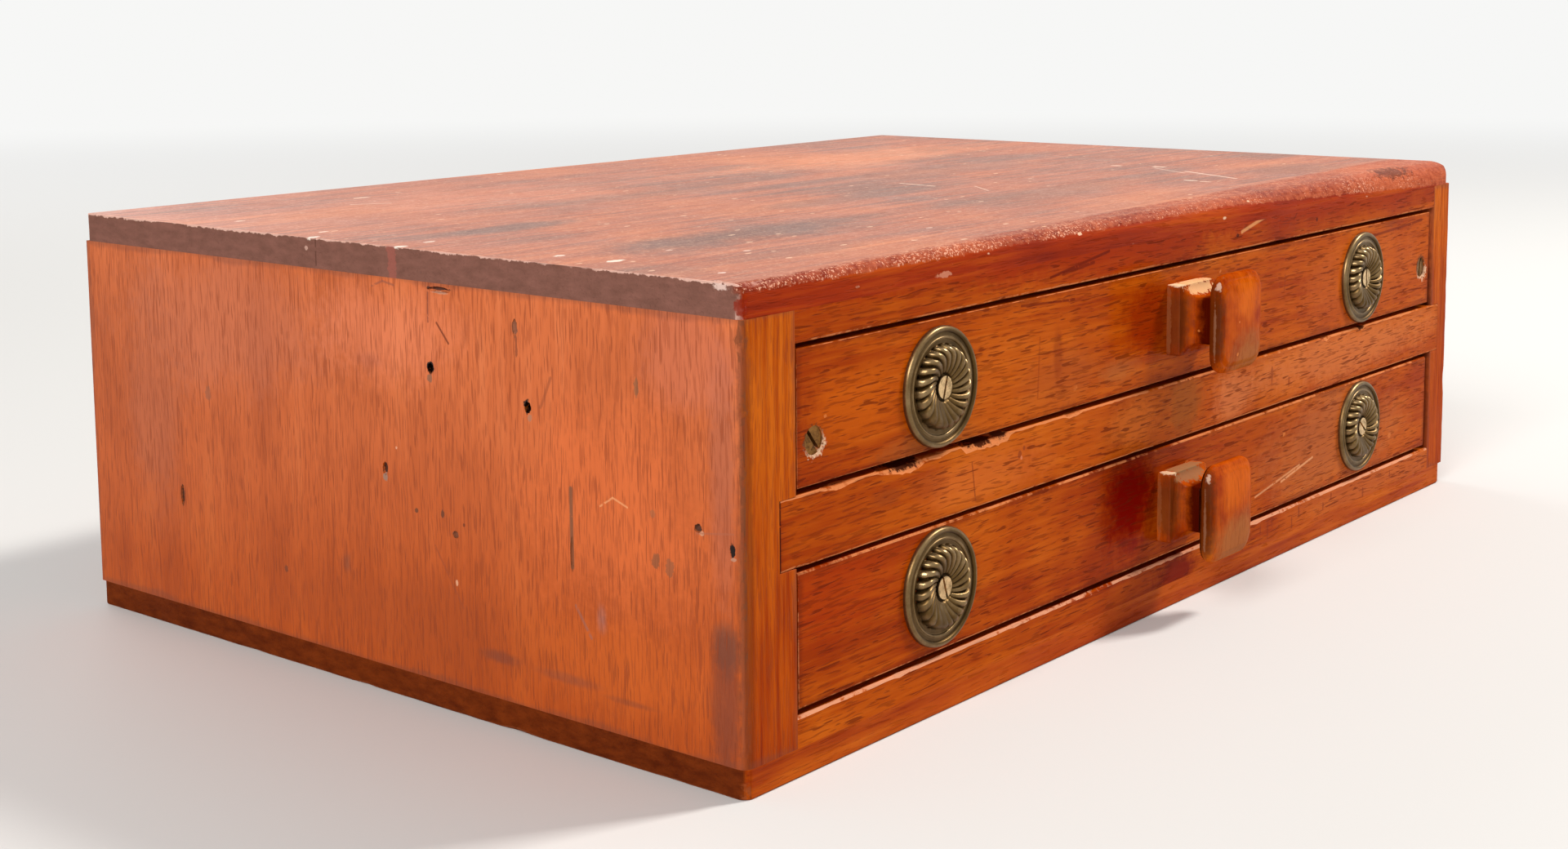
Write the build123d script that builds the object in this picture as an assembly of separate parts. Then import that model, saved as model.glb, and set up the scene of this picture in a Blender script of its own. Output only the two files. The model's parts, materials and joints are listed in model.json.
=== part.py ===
from build123d import *
import math
import os

# Two-drawer mahogany box for watercolours. Millimetres, +Z up, front towards -Y.
# The origin is the centre of the base board's underside.

# Case
case_width = 396.0
case_depth = 254.0
case_height = 118.0
top_thickness = 8.0
base_thickness = 7.2
left_side_thickness = 18.5
right_side_thickness = 15.5
back_thickness = 8.0
back_rebate = 6.0        # how far each end of the back panel reaches into its side
top_rail_height = 7.8
bottom_rail_height = 7.6
divider_height = 17.0
rail_depth = 44.0        # front to back
housing_depth = 6.0      # divider rail and upper runners let into the sides
bearer_width = 14.0      # runners and kickers, measured from the side's inner face

# Worn and rounded edges of the case
nose_radius_left = 2.5   # top board's front arris, which wears away towards the right
nose_radius_right = 7.6
top_end_round = 5.0      # right-hand end of the top board
corner_round_left = 2.5  # upright corners of the top and base boards
corner_round_right = 6.5
side_corner_round = 1.2
base_arris_round = 0.6

# Drawers
front_thickness = 16.0
drawer_side_thickness = 9.5
drawer_back_thickness = 8.0
drawer_bottom_thickness = 3.5
bottom_rise = 6.0        # drawer bottom above the sill of its opening
groove_depth = 3.5       # drawer bottom let into the front and the sides
gap_left = 0.5           # between the drawer and the case at each end
gap_right = 3.9
gap_above_front = 1.2
gap_under_front = 1.6
running_gap = 0.3        # drawer sides above their runners
side_drop = 0.8          # drawer sides below the top of their front
back_drop = 2.0          # drawer back below the top of the sides
back_space = 4.0         # behind a closed drawer

# Dovetails
tail_count = 2
front_lap = 4.0          # wood left in front of the half-blind dovetails
half_pin = 3.5
pin_width = 4.0
tail_slope = 1 / 7

# Partitions inside the drawers
partition_thickness = 4.0
partition_height = 16.0
partition_seat = 1.5     # partitions let into what they stand between
tray_depth = 46.0        # brush tray along the front of the upper drawer
pan_columns = 6
saucer_depth = 104.0     # compartments along the front of the lower drawer
saucer_columns = 3

# Drawer stops on the rails
stop_length = 26.0
stop_width = 10.0
stop_height = 3.2
stop_gap = 0.3
stop_inset = 62.0        # from the inner face of each side to the stop's centre

# Pulls
pull_base_width = 21.0
pull_base_height = 20.5
pull_base_thickness = 2.0
pull_neck = 14.4
pull_neck_start = 7.6    # from the drawer front to the narrowest part of the neck
pull_neck_end = 10.6
pull_flare = 19.0        # width of the neck where it meets the head
pull_head_width = 27.2
pull_head_height = 28.3
pull_head_back = 15.0
pull_head_edge = 2.7
pull_head_dome = 1.9
pull_head_corner = 6.0
pull_shift_upper = 1.2   # sideways, from the middle of the drawer front
pull_shift_lower = -2.8
pull_rise_upper = 1.3    # up, from the middle of the drawer front
pull_rise_lower = -1.0

# Brass rosettes
rosette_radius = 15.3
rosette_edge = 1.2
rosette_bead = 1.35
rosette_band = 1.0
rosette_ring_radius = 12.5
rosette_ring_half = 0.5
rosette_ring = 1.5
rosette_dome_radius = 10.6
rosette_dome = 3.6
rosette_eye_radius = 3.7
rosette_eye = 1.5
rosette_inset = 56.0     # centre of a rosette from the end of the drawer front
rosette_drop_upper = 0.9
rosette_drop_lower = -0.4

# Screws: head radius, head depth, shank radius, length, slot width
rosette_screw = (2.9, 1.6, 1.3, 12.0, 0.7)
end_screw = (3.5, 2.4, 1.7, 28.0, 0.9)
pull_screw = (3.6, 2.4, 1.8, 24.0, 0.9)
base_screw = (3.8, 2.6, 1.9, 26.0, 0.9)
rosette_screw_proud = 1.9    # rosette screw's head in front of the drawer front
end_screw_inset = 6.3        # from the end of the drawer front
end_screw_clears = (0.7, 3.7)    # left and right, shank above the drawer's floor
end_screw_sunk = 0.5
pull_screw_sunk = 1.0
base_screw_sunk = 0.6
screw_slot_depth = 0.5       # as a share of the head's depth
screw_head_edge = 0.3

# Hidden dowels between the sides and the top board
dowel_radius = 3.0
dowel_length = 18.0
dowel_in_top = 5.0
fixing_count = 3             # dowels and base screws along each side
fixing_inset = 34.0          # first and last of them from the front and the rear

# Worked out from the sizes above
left_x = -case_width / 2
right_x = case_width / 2
front_y = -case_depth / 2
rear_y = case_depth / 2
inner_left = left_x + left_side_thickness
inner_right = right_x - right_side_thickness
top_under = case_height - top_thickness
rails_height = top_rail_height + divider_height + bottom_rail_height
opening_height = (top_under - base_thickness - rails_height) / 2
lower_sill = base_thickness + bottom_rail_height
lower_head = lower_sill + opening_height
upper_sill = lower_head + divider_height
upper_head = upper_sill + opening_height
back_inner_y = rear_y - back_thickness
rail_rear_y = front_y + rail_depth

drawer_left = inner_left + gap_left
drawer_right = inner_right - gap_right
drawer_middle = (drawer_left + drawer_right) / 2
drawer_rear_y = back_inner_y - back_space
front_inner_y = front_y + front_thickness
cell_left = drawer_left + drawer_side_thickness
cell_right = drawer_right - drawer_side_thickness
cell_rear_y = drawer_rear_y - drawer_back_thickness
front_height = opening_height - gap_above_front - gap_under_front


def block(x0, x1, y0, y1, z0, z1):
    """A squared board from its low corner to its high corner."""
    board = Box(x1 - x0, y1 - y0, z1 - z0, align=(Align.MIN, Align.MIN, Align.MIN))
    return Pos(x0, y0, z0) * board


def plan_outline(x0, x1, y0, y1, radius_left, radius_right):
    """A rectangle in plan with rounded front and rear corners at each end."""
    left_line = Line((x0, y1 - radius_left), (x0, y0 + radius_left))
    front_line = Line((x0 + radius_left, y0), (x1 - radius_right, y0))
    right_line = Line((x1, y0 + radius_right), (x1, y1 - radius_right))
    rear_line = Line((x1 - radius_right, y1), (x0 + radius_left, y1))
    corners = [
        RadiusArc(left_line @ 1, front_line @ 0, -radius_left),
        RadiusArc(front_line @ 1, right_line @ 0, -radius_right),
        RadiusArc(right_line @ 1, rear_line @ 0, -radius_right),
        RadiusArc(rear_line @ 1, left_line @ 0, -radius_left),
    ]
    return make_face([left_line, front_line, right_line, rear_line] + corners)


def wood_screw(size):
    """A slotted countersunk screw: head's face at Z 0, point down."""
    head_radius, head_depth, shank_radius, length, slot_width = size
    tip = shank_radius * 2
    outline = Polyline(
        (0, 0), (head_radius, 0), (head_radius, -screw_head_edge), (shank_radius, -head_depth),
        (shank_radius, -length + tip), (0, -length), (0, 0),
    )
    body = revolve(make_face(Plane.XZ * outline), axis=Axis.Z)
    slot = Box(2 * head_radius, slot_width, head_depth * screw_slot_depth * 2)
    return body, body - slot


def placed(solid, x, y, z, turn):
    """A solid that stands along Z, turned to its own axis and moved to its place."""
    return Pos(x, y, z) * turn * solid


facing_front = Rot(90, 0, 0)      # Z towards -Y
facing_rear = Rot(-90, 0, 0)      # Z towards +Y
facing_down = Rot(180, 0, 0)      # Z towards -Z


def evenly(first, last, count):
    """Places at equal steps from first to last."""
    step = (last - first) / (count - 1)
    return [first + step * i for i in range(count)]


def top_board():
    """The top, with a nose that is worn rounder towards the right-hand end."""
    def worn_off(x, radius):
        outside_y, outside_z = front_y - radius, case_height + radius
        outline = [
            Line((front_y, case_height - radius), (outside_y, case_height - radius)),
            Line((outside_y, case_height - radius), (outside_y, outside_z)),
            Line((outside_y, outside_z), (front_y + radius, outside_z)),
            Line((front_y + radius, outside_z), (front_y + radius, case_height)),
            RadiusArc((front_y + radius, case_height), (front_y, case_height - radius), -radius),
        ]
        return Plane((x, 0, 0), x_dir=(0, 1, 0), z_dir=(1, 0, 0)) * make_face(outline)

    outline = plan_outline(left_x, right_x, front_y, rear_y, corner_round_left, corner_round_right)
    board = extrude(Pos(0, 0, top_under) * outline, top_thickness)
    ends = [worn_off(left_x, nose_radius_left), worn_off(right_x, nose_radius_right)]
    board -= loft(ends, ruled=True)
    round_x, round_z = right_x - top_end_round, case_height - top_end_round
    corner = block(round_x, right_x, front_y, rear_y, round_z, case_height)
    corner -= Pos(round_x, 0, round_z) * Cylinder(top_end_round, 2 * case_depth, rotation=(90, 0, 0))
    return board - corner


def base_board():
    """The base, cut to the same outline as the top, with an eased lower arris."""
    outline = plan_outline(left_x, right_x, front_y, rear_y, corner_round_left, corner_round_right)
    board = extrude(outline, base_thickness)
    return fillet(board.edges().group_by(Axis.Z)[0], base_arris_round)


def case_side(x_outer, x_inner):
    """A side board with its housing for the divider rail and runner, and a rebate for the back."""
    inward = math.copysign(1, x_inner - x_outer)
    low_x, high_x = sorted((x_outer, x_inner))
    board = block(low_x, high_x, front_y, rear_y, base_thickness, top_under)
    outer_front = board.edges().filter_by(Axis.Z).group_by(Axis.Y)[0].sort_by(Axis.X)
    board = fillet(outer_front[0 if inward > 0 else -1], side_corner_round)
    low_x, high_x = sorted((x_inner - inward * housing_depth, x_inner))
    board -= block(low_x, high_x, front_y, back_inner_y, lower_head, upper_sill)
    low_x, high_x = sorted((x_inner - inward * back_rebate, x_inner))
    board -= block(low_x, high_x, back_inner_y, rear_y, base_thickness, top_under)
    return board


def back_panel():
    """The back, in the rebates of the sides between base and top."""
    x0, x1 = inner_left - back_rebate, inner_right + back_rebate
    return block(x0, x1, back_inner_y, rear_y, base_thickness, top_under)


def rail(z0, z1, let_in):
    """A front rail from side to side, let into both by the same depth."""
    return block(inner_left - let_in, inner_right + let_in, front_y, rail_rear_y, z0, z1)


def bearer(hand, z0, z1, let_in):
    """A strip along one side, from the front rail to the back panel."""
    if hand == "left":
        return block(inner_left - let_in, inner_left + bearer_width, rail_rear_y, back_inner_y, z0, z1)
    return block(inner_right - bearer_width, inner_right + let_in, rail_rear_y, back_inner_y, z0, z1)


def drawer_stop(hand, sill):
    """A small block behind the drawer front, on the rail under it."""
    x = inner_left + stop_inset if hand == "left" else inner_right - stop_inset
    y0 = front_inner_y + stop_gap
    return block(x - stop_length / 2, x + stop_length / 2, y0, y0 + stop_width, sill, sill + stop_height)


def side_middles():
    """The middle of each side board's thickness."""
    return [(left_x + inner_left) / 2, (right_x + inner_right) / 2]


def top_dowels():
    """Round pegs, half in the upper edge of a side and half in the top."""
    peg = Cylinder(dowel_radius, dowel_length, align=(Align.CENTER, Align.CENTER, Align.MAX))
    rows = evenly(front_y + fixing_inset, rear_y - fixing_inset, fixing_count)
    return [Pos(x, y, top_under + dowel_in_top) * peg for x in side_middles() for y in rows]


def base_screws():
    """Screws up through the base into the sides, each as its blank and its slotted solid."""
    blank, slotted = wood_screw(base_screw)
    rows = evenly(front_y + fixing_inset, rear_y - fixing_inset, fixing_count)
    spots = [(x, y, base_screw_sunk) for x in side_middles() for y in rows]
    return [(placed(blank, *spot, facing_down), placed(slotted, *spot, facing_down)) for spot in spots]


def dovetails(x0, x1, y_root, y_tip, z0, z1, count):
    """Tails on the end of a drawer side, spread evenly between z0 and z1."""
    reach = abs(y_tip - y_root)
    width = (z1 - z0 - 2 * half_pin - (count - 1) * pin_width) / count
    spread = reach * tail_slope
    tails = []
    for i in range(count):
        low = z0 + half_pin + i * (width + pin_width)
        high = low + width
        shape = Polyline(
            (y_root, low + spread), (y_tip, low), (y_tip, high), (y_root, high - spread), close=True
        )
        face = Plane((x0, 0, 0), x_dir=(0, 1, 0), z_dir=(1, 0, 0)) * make_face(shape)
        tails.append(extrude(face, x1 - x0))
    return tails


def joined(solids):
    """One solid from several that touch."""
    whole = solids[0]
    for solid in solids[1:]:
        whole += solid
    return whole


def less(solid, cuts):
    """A solid without the cuts."""
    for cut in cuts:
        solid -= cut
    return solid


def drawer_levels(sill):
    """Heights of one drawer, worked out from the sill of its opening."""
    front_low = sill + gap_under_front
    front_high = front_low + front_height
    return {
        "front_low": front_low,
        "front_high": front_high,
        "middle": (front_low + front_high) / 2,
        "side_low": sill + running_gap,
        "side_high": front_high - side_drop,
        "bottom_low": sill + bottom_rise,
        "floor": sill + bottom_rise + drawer_bottom_thickness,
        "back_high": front_high - side_drop - back_drop,
    }


def drawer_carcase(level):
    """Front, sides, back and bottom of one drawer, dovetailed and grooved together."""
    bottom = block(
        cell_left - groove_depth, cell_right + groove_depth,
        front_inner_y - groove_depth, drawer_rear_y,
        level["bottom_low"], level["floor"],
    )
    front = block(
        drawer_left, drawer_right, front_y, front_inner_y, level["front_low"], level["front_high"]
    )
    back = block(
        drawer_left, drawer_right, cell_rear_y, drawer_rear_y, level["floor"], level["back_high"]
    )
    sides = []
    for x0, x1 in ((drawer_left, cell_left), (cell_right, drawer_right)):
        front_tails = dovetails(
            x0, x1, front_inner_y, front_y + front_lap, level["front_low"], level["side_high"], tail_count
        )
        rear_tails = dovetails(
            x0, x1, cell_rear_y, drawer_rear_y, level["floor"], level["back_high"], 1
        )
        front = less(front, front_tails)
        back = less(back, rear_tails)
        plank = block(x0, x1, front_inner_y, drawer_rear_y, level["side_low"], level["side_high"])
        rear_pins = block(x0, x1, cell_rear_y, drawer_rear_y, level["floor"], level["back_high"])
        plank -= less(rear_pins, rear_tails)
        sides.append(less(joined([plank] + front_tails), [bottom]))
    front -= bottom
    return front, sides, back, bottom


def long_partition(level, y):
    """A partition from side to side of a drawer, with its front face at y."""
    x0 = cell_left - partition_seat
    x1 = cell_right + partition_seat
    return block(x0, x1, y, y + partition_thickness, level["floor"], level["floor"] + partition_height)


def cross_partition(level, x, y0, y1):
    """A partition from front to back, centred on x."""
    x0 = x - partition_thickness / 2
    return block(x0, x0 + partition_thickness, y0, y1, level["floor"], level["floor"] + partition_height)


def halve(long, cross, level):
    """Cross-halves two partitions: the long one is notched below and the other above."""
    shared = long & cross
    box = shared.bounding_box()
    middle = level["floor"] + partition_height / 2
    lower = block(box.min.X, box.max.X, box.min.Y, box.max.Y, box.min.Z, middle)
    upper = block(box.min.X, box.max.X, box.min.Y, box.max.Y, middle, box.max.Z)
    return long - lower, cross - upper


def column_places(count):
    """Centres of the partitions that part a drawer's width into equal columns."""
    clear = (cell_right - cell_left - (count - 1) * partition_thickness) / count
    return [cell_left + (i + 1) * clear + (i + 0.5) * partition_thickness for i in range(count - 1)]


def upper_partitions(level):
    """A brush tray along the front, and two rows of pans behind it."""
    tray_y = front_inner_y + tray_depth
    pan_depth = (cell_rear_y - tray_y - 2 * partition_thickness) / 2
    tray = long_partition(level, tray_y)
    pans = long_partition(level, tray_y + partition_thickness + pan_depth)
    crosses = []
    for x in column_places(pan_columns):
        cross = cross_partition(level, x, tray_y + partition_thickness - partition_seat, cell_rear_y)
        pans, cross = halve(pans, cross, level)
        tray -= cross
        crosses.append(cross)
    return {"tray_partition": tray, "pan_partition": pans}, crosses


def lower_partitions(level):
    """Square compartments along the front, and an open tray behind them."""
    tray_y = front_inner_y + saucer_depth
    tray = long_partition(level, tray_y)
    crosses = []
    for x in column_places(saucer_columns):
        cross = cross_partition(level, x, front_inner_y - partition_seat, tray_y + partition_seat)
        tray -= cross
        crosses.append(cross)
    return {"tray_partition": tray}, crosses


def pull():
    """A square pull: flat base, coved neck and a cushion-shaped head. Base at Y 0, front at -Y."""
    def silhouette(base, neck, flare):
        half_base, half_neck, half_flare = base / 2, neck / 2, flare / 2
        points = {
            "base_back": (half_base, 0),
            "base_front": (half_base, pull_base_thickness),
            "neck_start": (half_neck, pull_neck_start),
            "neck_end": (half_neck, pull_neck_end),
            "flare": (half_flare, pull_head_back),
        }
        right = [
            Line(points["base_back"], points["base_front"]),
            TangentArc(points["neck_start"], points["base_front"], tangent=(0, -1)),
            Line(points["neck_start"], points["neck_end"]),
            TangentArc(points["neck_end"], points["flare"], tangent=(0, 1)),
        ]
        left = [mirror(edge, about=Plane.YZ) for edge in right]
        closing = [
            Line(points["flare"], (-half_flare, pull_head_back)),
            Line((-half_base, 0), points["base_back"]),
        ]
        return make_face(right + left + closing)

    plan = silhouette(pull_base_width, pull_neck, pull_flare)
    elevation = silhouette(pull_base_height, pull_neck, pull_flare)
    seen_above = Plane((0, 0, -pull_head_height), x_dir=(1, 0, 0), z_dir=(0, 0, -1)) * plan
    seen_aside = Plane((-pull_head_width, 0, 0), x_dir=(0, 0, 1), z_dir=(1, 0, 0)) * elevation
    stem = extrude(seen_above, -2 * pull_head_height) & extrude(seen_aside, 2 * pull_head_width)
    head_depth = pull_head_edge + pull_head_dome
    shape = RectangleRounded(pull_head_width, pull_head_height, pull_head_corner)
    head_plane = Plane((0, -pull_head_back, 0), x_dir=(1, 0, 0), z_dir=(0, -1, 0))
    head = extrude(head_plane * shape, head_depth)
    corner_cut = pull_head_corner * (math.sqrt(2) - 1)
    half_diagonal = math.hypot(pull_head_width, pull_head_height) / 2 - corner_cut
    dome_radius = (half_diagonal ** 2 + pull_head_dome ** 2) / (2 * pull_head_dome)
    head &= Pos(0, dome_radius - pull_head_back - head_depth, 0) * Sphere(dome_radius)
    return stem + head


def rosette():
    """A turned brass rose: beaded rim, flat band, thin ring and a dome with a sunk eye."""
    eye = rosette_eye_radius
    crest = (rosette_dome_radius + eye) / 2
    rim = rosette_radius - rosette_edge
    ring_outer = rosette_ring_radius + rosette_ring_half
    ring_inner = rosette_ring_radius - rosette_ring_half
    outline = [
        Line((0, 0), (rosette_radius, 0)),
        Line((rosette_radius, 0), (rosette_radius, rosette_bead / 2)),
        ThreePointArc(
            (rosette_radius, rosette_bead / 2),
            (rosette_radius - rosette_edge / 2, rosette_bead),
            (rim, rosette_band),
        ),
        Line((rim, rosette_band), (ring_outer, rosette_band)),
        ThreePointArc(
            (ring_outer, rosette_band), (rosette_ring_radius, rosette_ring), (ring_inner, rosette_band)
        ),
        Line((ring_inner, rosette_band), (rosette_dome_radius, rosette_band)),
        ThreePointArc(
            (rosette_dome_radius, rosette_band), (crest, rosette_dome), (eye, rosette_eye)
        ),
        Line((eye, rosette_eye), (0, rosette_eye)),
        Line((0, rosette_eye), (0, 0)),
    ]
    return revolve(Plane.XZ * make_face(outline), axis=Axis.Z)


def dress_front(name, front, level, pull_shift, pull_rise, rosette_drop):
    """The pull and the rosettes on one drawer front, with the screws that hold them."""
    pieces = {}
    blank, slotted = wood_screw(pull_screw)
    x = drawer_middle + pull_shift
    z = level["middle"] + pull_rise
    spot = (x, front_inner_y - pull_screw_sunk, z)
    sunk = Pos(x, front_inner_y, z) * Cylinder(pull_screw[0], 2 * pull_screw_sunk, rotation=(90, 0, 0))
    screw_blank = placed(blank, *spot, facing_rear)
    pieces[name + "_pull"] = Pos(x, front_y, z) * pull() - screw_blank
    pieces[name + "_pull_screw"] = placed(slotted, *spot, facing_rear)
    front = less(front, [screw_blank, sunk])

    blank, slotted = wood_screw(rosette_screw)
    screws = []
    for hand, x in (("left", drawer_left + rosette_inset), ("right", drawer_right - rosette_inset)):
        z = level["middle"] - rosette_drop
        spot = (x, front_y - rosette_screw_proud, z)
        screw_blank = placed(blank, *spot, facing_front)
        rose = placed(rosette(), x, front_y, z, facing_front)
        pieces[f"{name}_rosette_{hand}"] = rose - screw_blank
        screws.append(placed(slotted, *spot, facing_front))
        front -= screw_blank
    pieces[name + "_rosette_screws"] = Compound(children=screws)
    return front, pieces


def end_screws(front, sides, level):
    """Screws through the ends of the upper front into the drawer sides, in countersunk holes."""
    blank, slotted = wood_screw(end_screw)
    screws = []
    placed_sides = []
    head_radius, head_depth, shank_radius, length, slot_width = end_screw
    places = (drawer_left + end_screw_inset, drawer_right - end_screw_inset)
    for x, clear, side in zip(places, end_screw_clears, sides):
        z = level["floor"] + clear + shank_radius
        spot = (x, front_y + end_screw_sunk, z)
        screw_blank = placed(blank, *spot, facing_front)
        mouth = Pos(x, front_y, z) * Cylinder(head_radius, 2 * end_screw_sunk, rotation=(90, 0, 0))
        front = less(front, [screw_blank, mouth])
        placed_sides.append(side - screw_blank)
        screws.append(placed(slotted, *spot, facing_front))
    return front, placed_sides, Compound(children=screws)


def drawer(name, sill, partitions, pull_shift, pull_rise, rosette_drop, with_end_screws):
    """Every piece of one drawer, by name."""
    level = drawer_levels(sill)
    front, sides, back, bottom = drawer_carcase(level)
    longs, crosses = partitions(level)
    sides = [less(side, longs.values()) for side in sides]
    front = less(front, crosses)
    front, pieces = dress_front(name, front, level, pull_shift, pull_rise, rosette_drop)
    if with_end_screws:
        front, sides, pieces[name + "_end_screws"] = end_screws(front, sides, level)
    pieces[name + "_drawer_front"] = front
    pieces[name + "_drawer_side_left"] = sides[0]
    pieces[name + "_drawer_side_right"] = sides[1]
    pieces[name + "_drawer_back"] = back
    pieces[name + "_drawer_bottom"] = bottom
    for key, partition in longs.items():
        pieces[f"{name}_{key}"] = partition
    for i, partition in enumerate(crosses):
        pieces[f"{name}_cross_partition_{i + 1}"] = partition
    return pieces


def case():
    """Every piece of the case, by name."""
    screws = base_screws()
    dowels = top_dowels()
    blanks = [blank for blank, slotted in screws]
    screw_mouths = [
        Pos(blank.center().X, blank.center().Y, 0) * Cylinder(base_screw[0], 2 * base_screw_sunk)
        for blank in blanks
    ]
    pieces = {
        "top_board": less(top_board(), dowels),
        "base_board": less(base_board(), blanks + screw_mouths),
        "left_side": less(case_side(left_x, inner_left), dowels + blanks),
        "right_side": less(case_side(right_x, inner_right), dowels + blanks),
        "back_panel": back_panel(),
        "top_rail": rail(upper_head, top_under, 0),
        "divider_rail": rail(lower_head, upper_sill, housing_depth),
        "bottom_rail": rail(base_thickness, lower_sill, 0),
        "top_dowels": Compound(children=dowels),
        "base_screws": Compound(children=[slotted for blank, slotted in screws]),
    }
    for hand in ("left", "right"):
        pieces["upper_kicker_" + hand] = bearer(hand, upper_head, top_under, 0)
        pieces["upper_runner_" + hand] = bearer(hand, lower_head, upper_sill, housing_depth)
        pieces["lower_runner_" + hand] = bearer(hand, base_thickness, lower_sill, 0)
        pieces["upper_stop_" + hand] = drawer_stop(hand, upper_sill)
        pieces["lower_stop_" + hand] = drawer_stop(hand, lower_sill)
    return pieces


os.makedirs("parts", exist_ok=True)
model = case()
model |= drawer(
    "upper", upper_sill, upper_partitions,
    pull_shift_upper, pull_rise_upper, rosette_drop_upper, with_end_screws=True,
)
model |= drawer(
    "lower", lower_sill, lower_partitions,
    pull_shift_lower, pull_rise_lower, rosette_drop_lower, with_end_screws=False,
)
for node, piece in model.items():
    export_step(piece, f"parts/{node}.step")
print(len(model), "sub-parts")
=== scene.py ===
import json
import math
import random

import bmesh
import bpy
from mathutils import Matrix, Vector, noise


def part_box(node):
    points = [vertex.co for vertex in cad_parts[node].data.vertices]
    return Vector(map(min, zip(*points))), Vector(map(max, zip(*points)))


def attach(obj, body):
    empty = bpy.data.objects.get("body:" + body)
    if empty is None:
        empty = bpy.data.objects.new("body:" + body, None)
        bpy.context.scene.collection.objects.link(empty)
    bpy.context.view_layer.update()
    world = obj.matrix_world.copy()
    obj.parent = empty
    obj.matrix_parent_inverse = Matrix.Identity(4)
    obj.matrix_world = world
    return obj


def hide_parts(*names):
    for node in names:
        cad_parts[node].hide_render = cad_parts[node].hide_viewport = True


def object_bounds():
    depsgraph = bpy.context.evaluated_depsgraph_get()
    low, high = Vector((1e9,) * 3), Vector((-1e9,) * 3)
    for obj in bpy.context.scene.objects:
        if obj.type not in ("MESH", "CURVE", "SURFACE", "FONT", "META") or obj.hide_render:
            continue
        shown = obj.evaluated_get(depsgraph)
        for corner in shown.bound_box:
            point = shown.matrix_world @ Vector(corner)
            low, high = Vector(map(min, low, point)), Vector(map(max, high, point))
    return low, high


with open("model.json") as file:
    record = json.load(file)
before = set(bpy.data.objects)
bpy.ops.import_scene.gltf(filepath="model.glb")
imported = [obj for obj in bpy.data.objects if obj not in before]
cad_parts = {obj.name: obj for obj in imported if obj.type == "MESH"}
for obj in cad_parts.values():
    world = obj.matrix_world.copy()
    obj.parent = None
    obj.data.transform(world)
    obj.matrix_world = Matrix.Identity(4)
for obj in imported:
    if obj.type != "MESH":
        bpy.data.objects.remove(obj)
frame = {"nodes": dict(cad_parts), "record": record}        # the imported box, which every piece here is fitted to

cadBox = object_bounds()
mm = 0.001
axes = {"x": 0, "y": 1, "z": 2}
bodyOf = {node: body for body, nodes in frame["record"]["behaviour"]["bodies"].items() for node in nodes}
print("frame loaded:", len(bodyOf), "nodes")


# Shader maths: a Signal is one output of a node, and + - * on it add Math nodes.

class Signal:
    def __init__(self, finish, socket):
        self.finish = finish
        self.socket = socket

    def __add__(self, other):
        return self.finish.maths("ADD", self, other)

    def __sub__(self, other):
        return self.finish.maths("SUBTRACT", self, other)

    def __rsub__(self, other):
        return self.finish.maths("SUBTRACT", other, self)

    def __mul__(self, other):
        return self.finish.maths("MULTIPLY", self, other)

    __radd__ = __add__
    __rmul__ = __mul__


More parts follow.
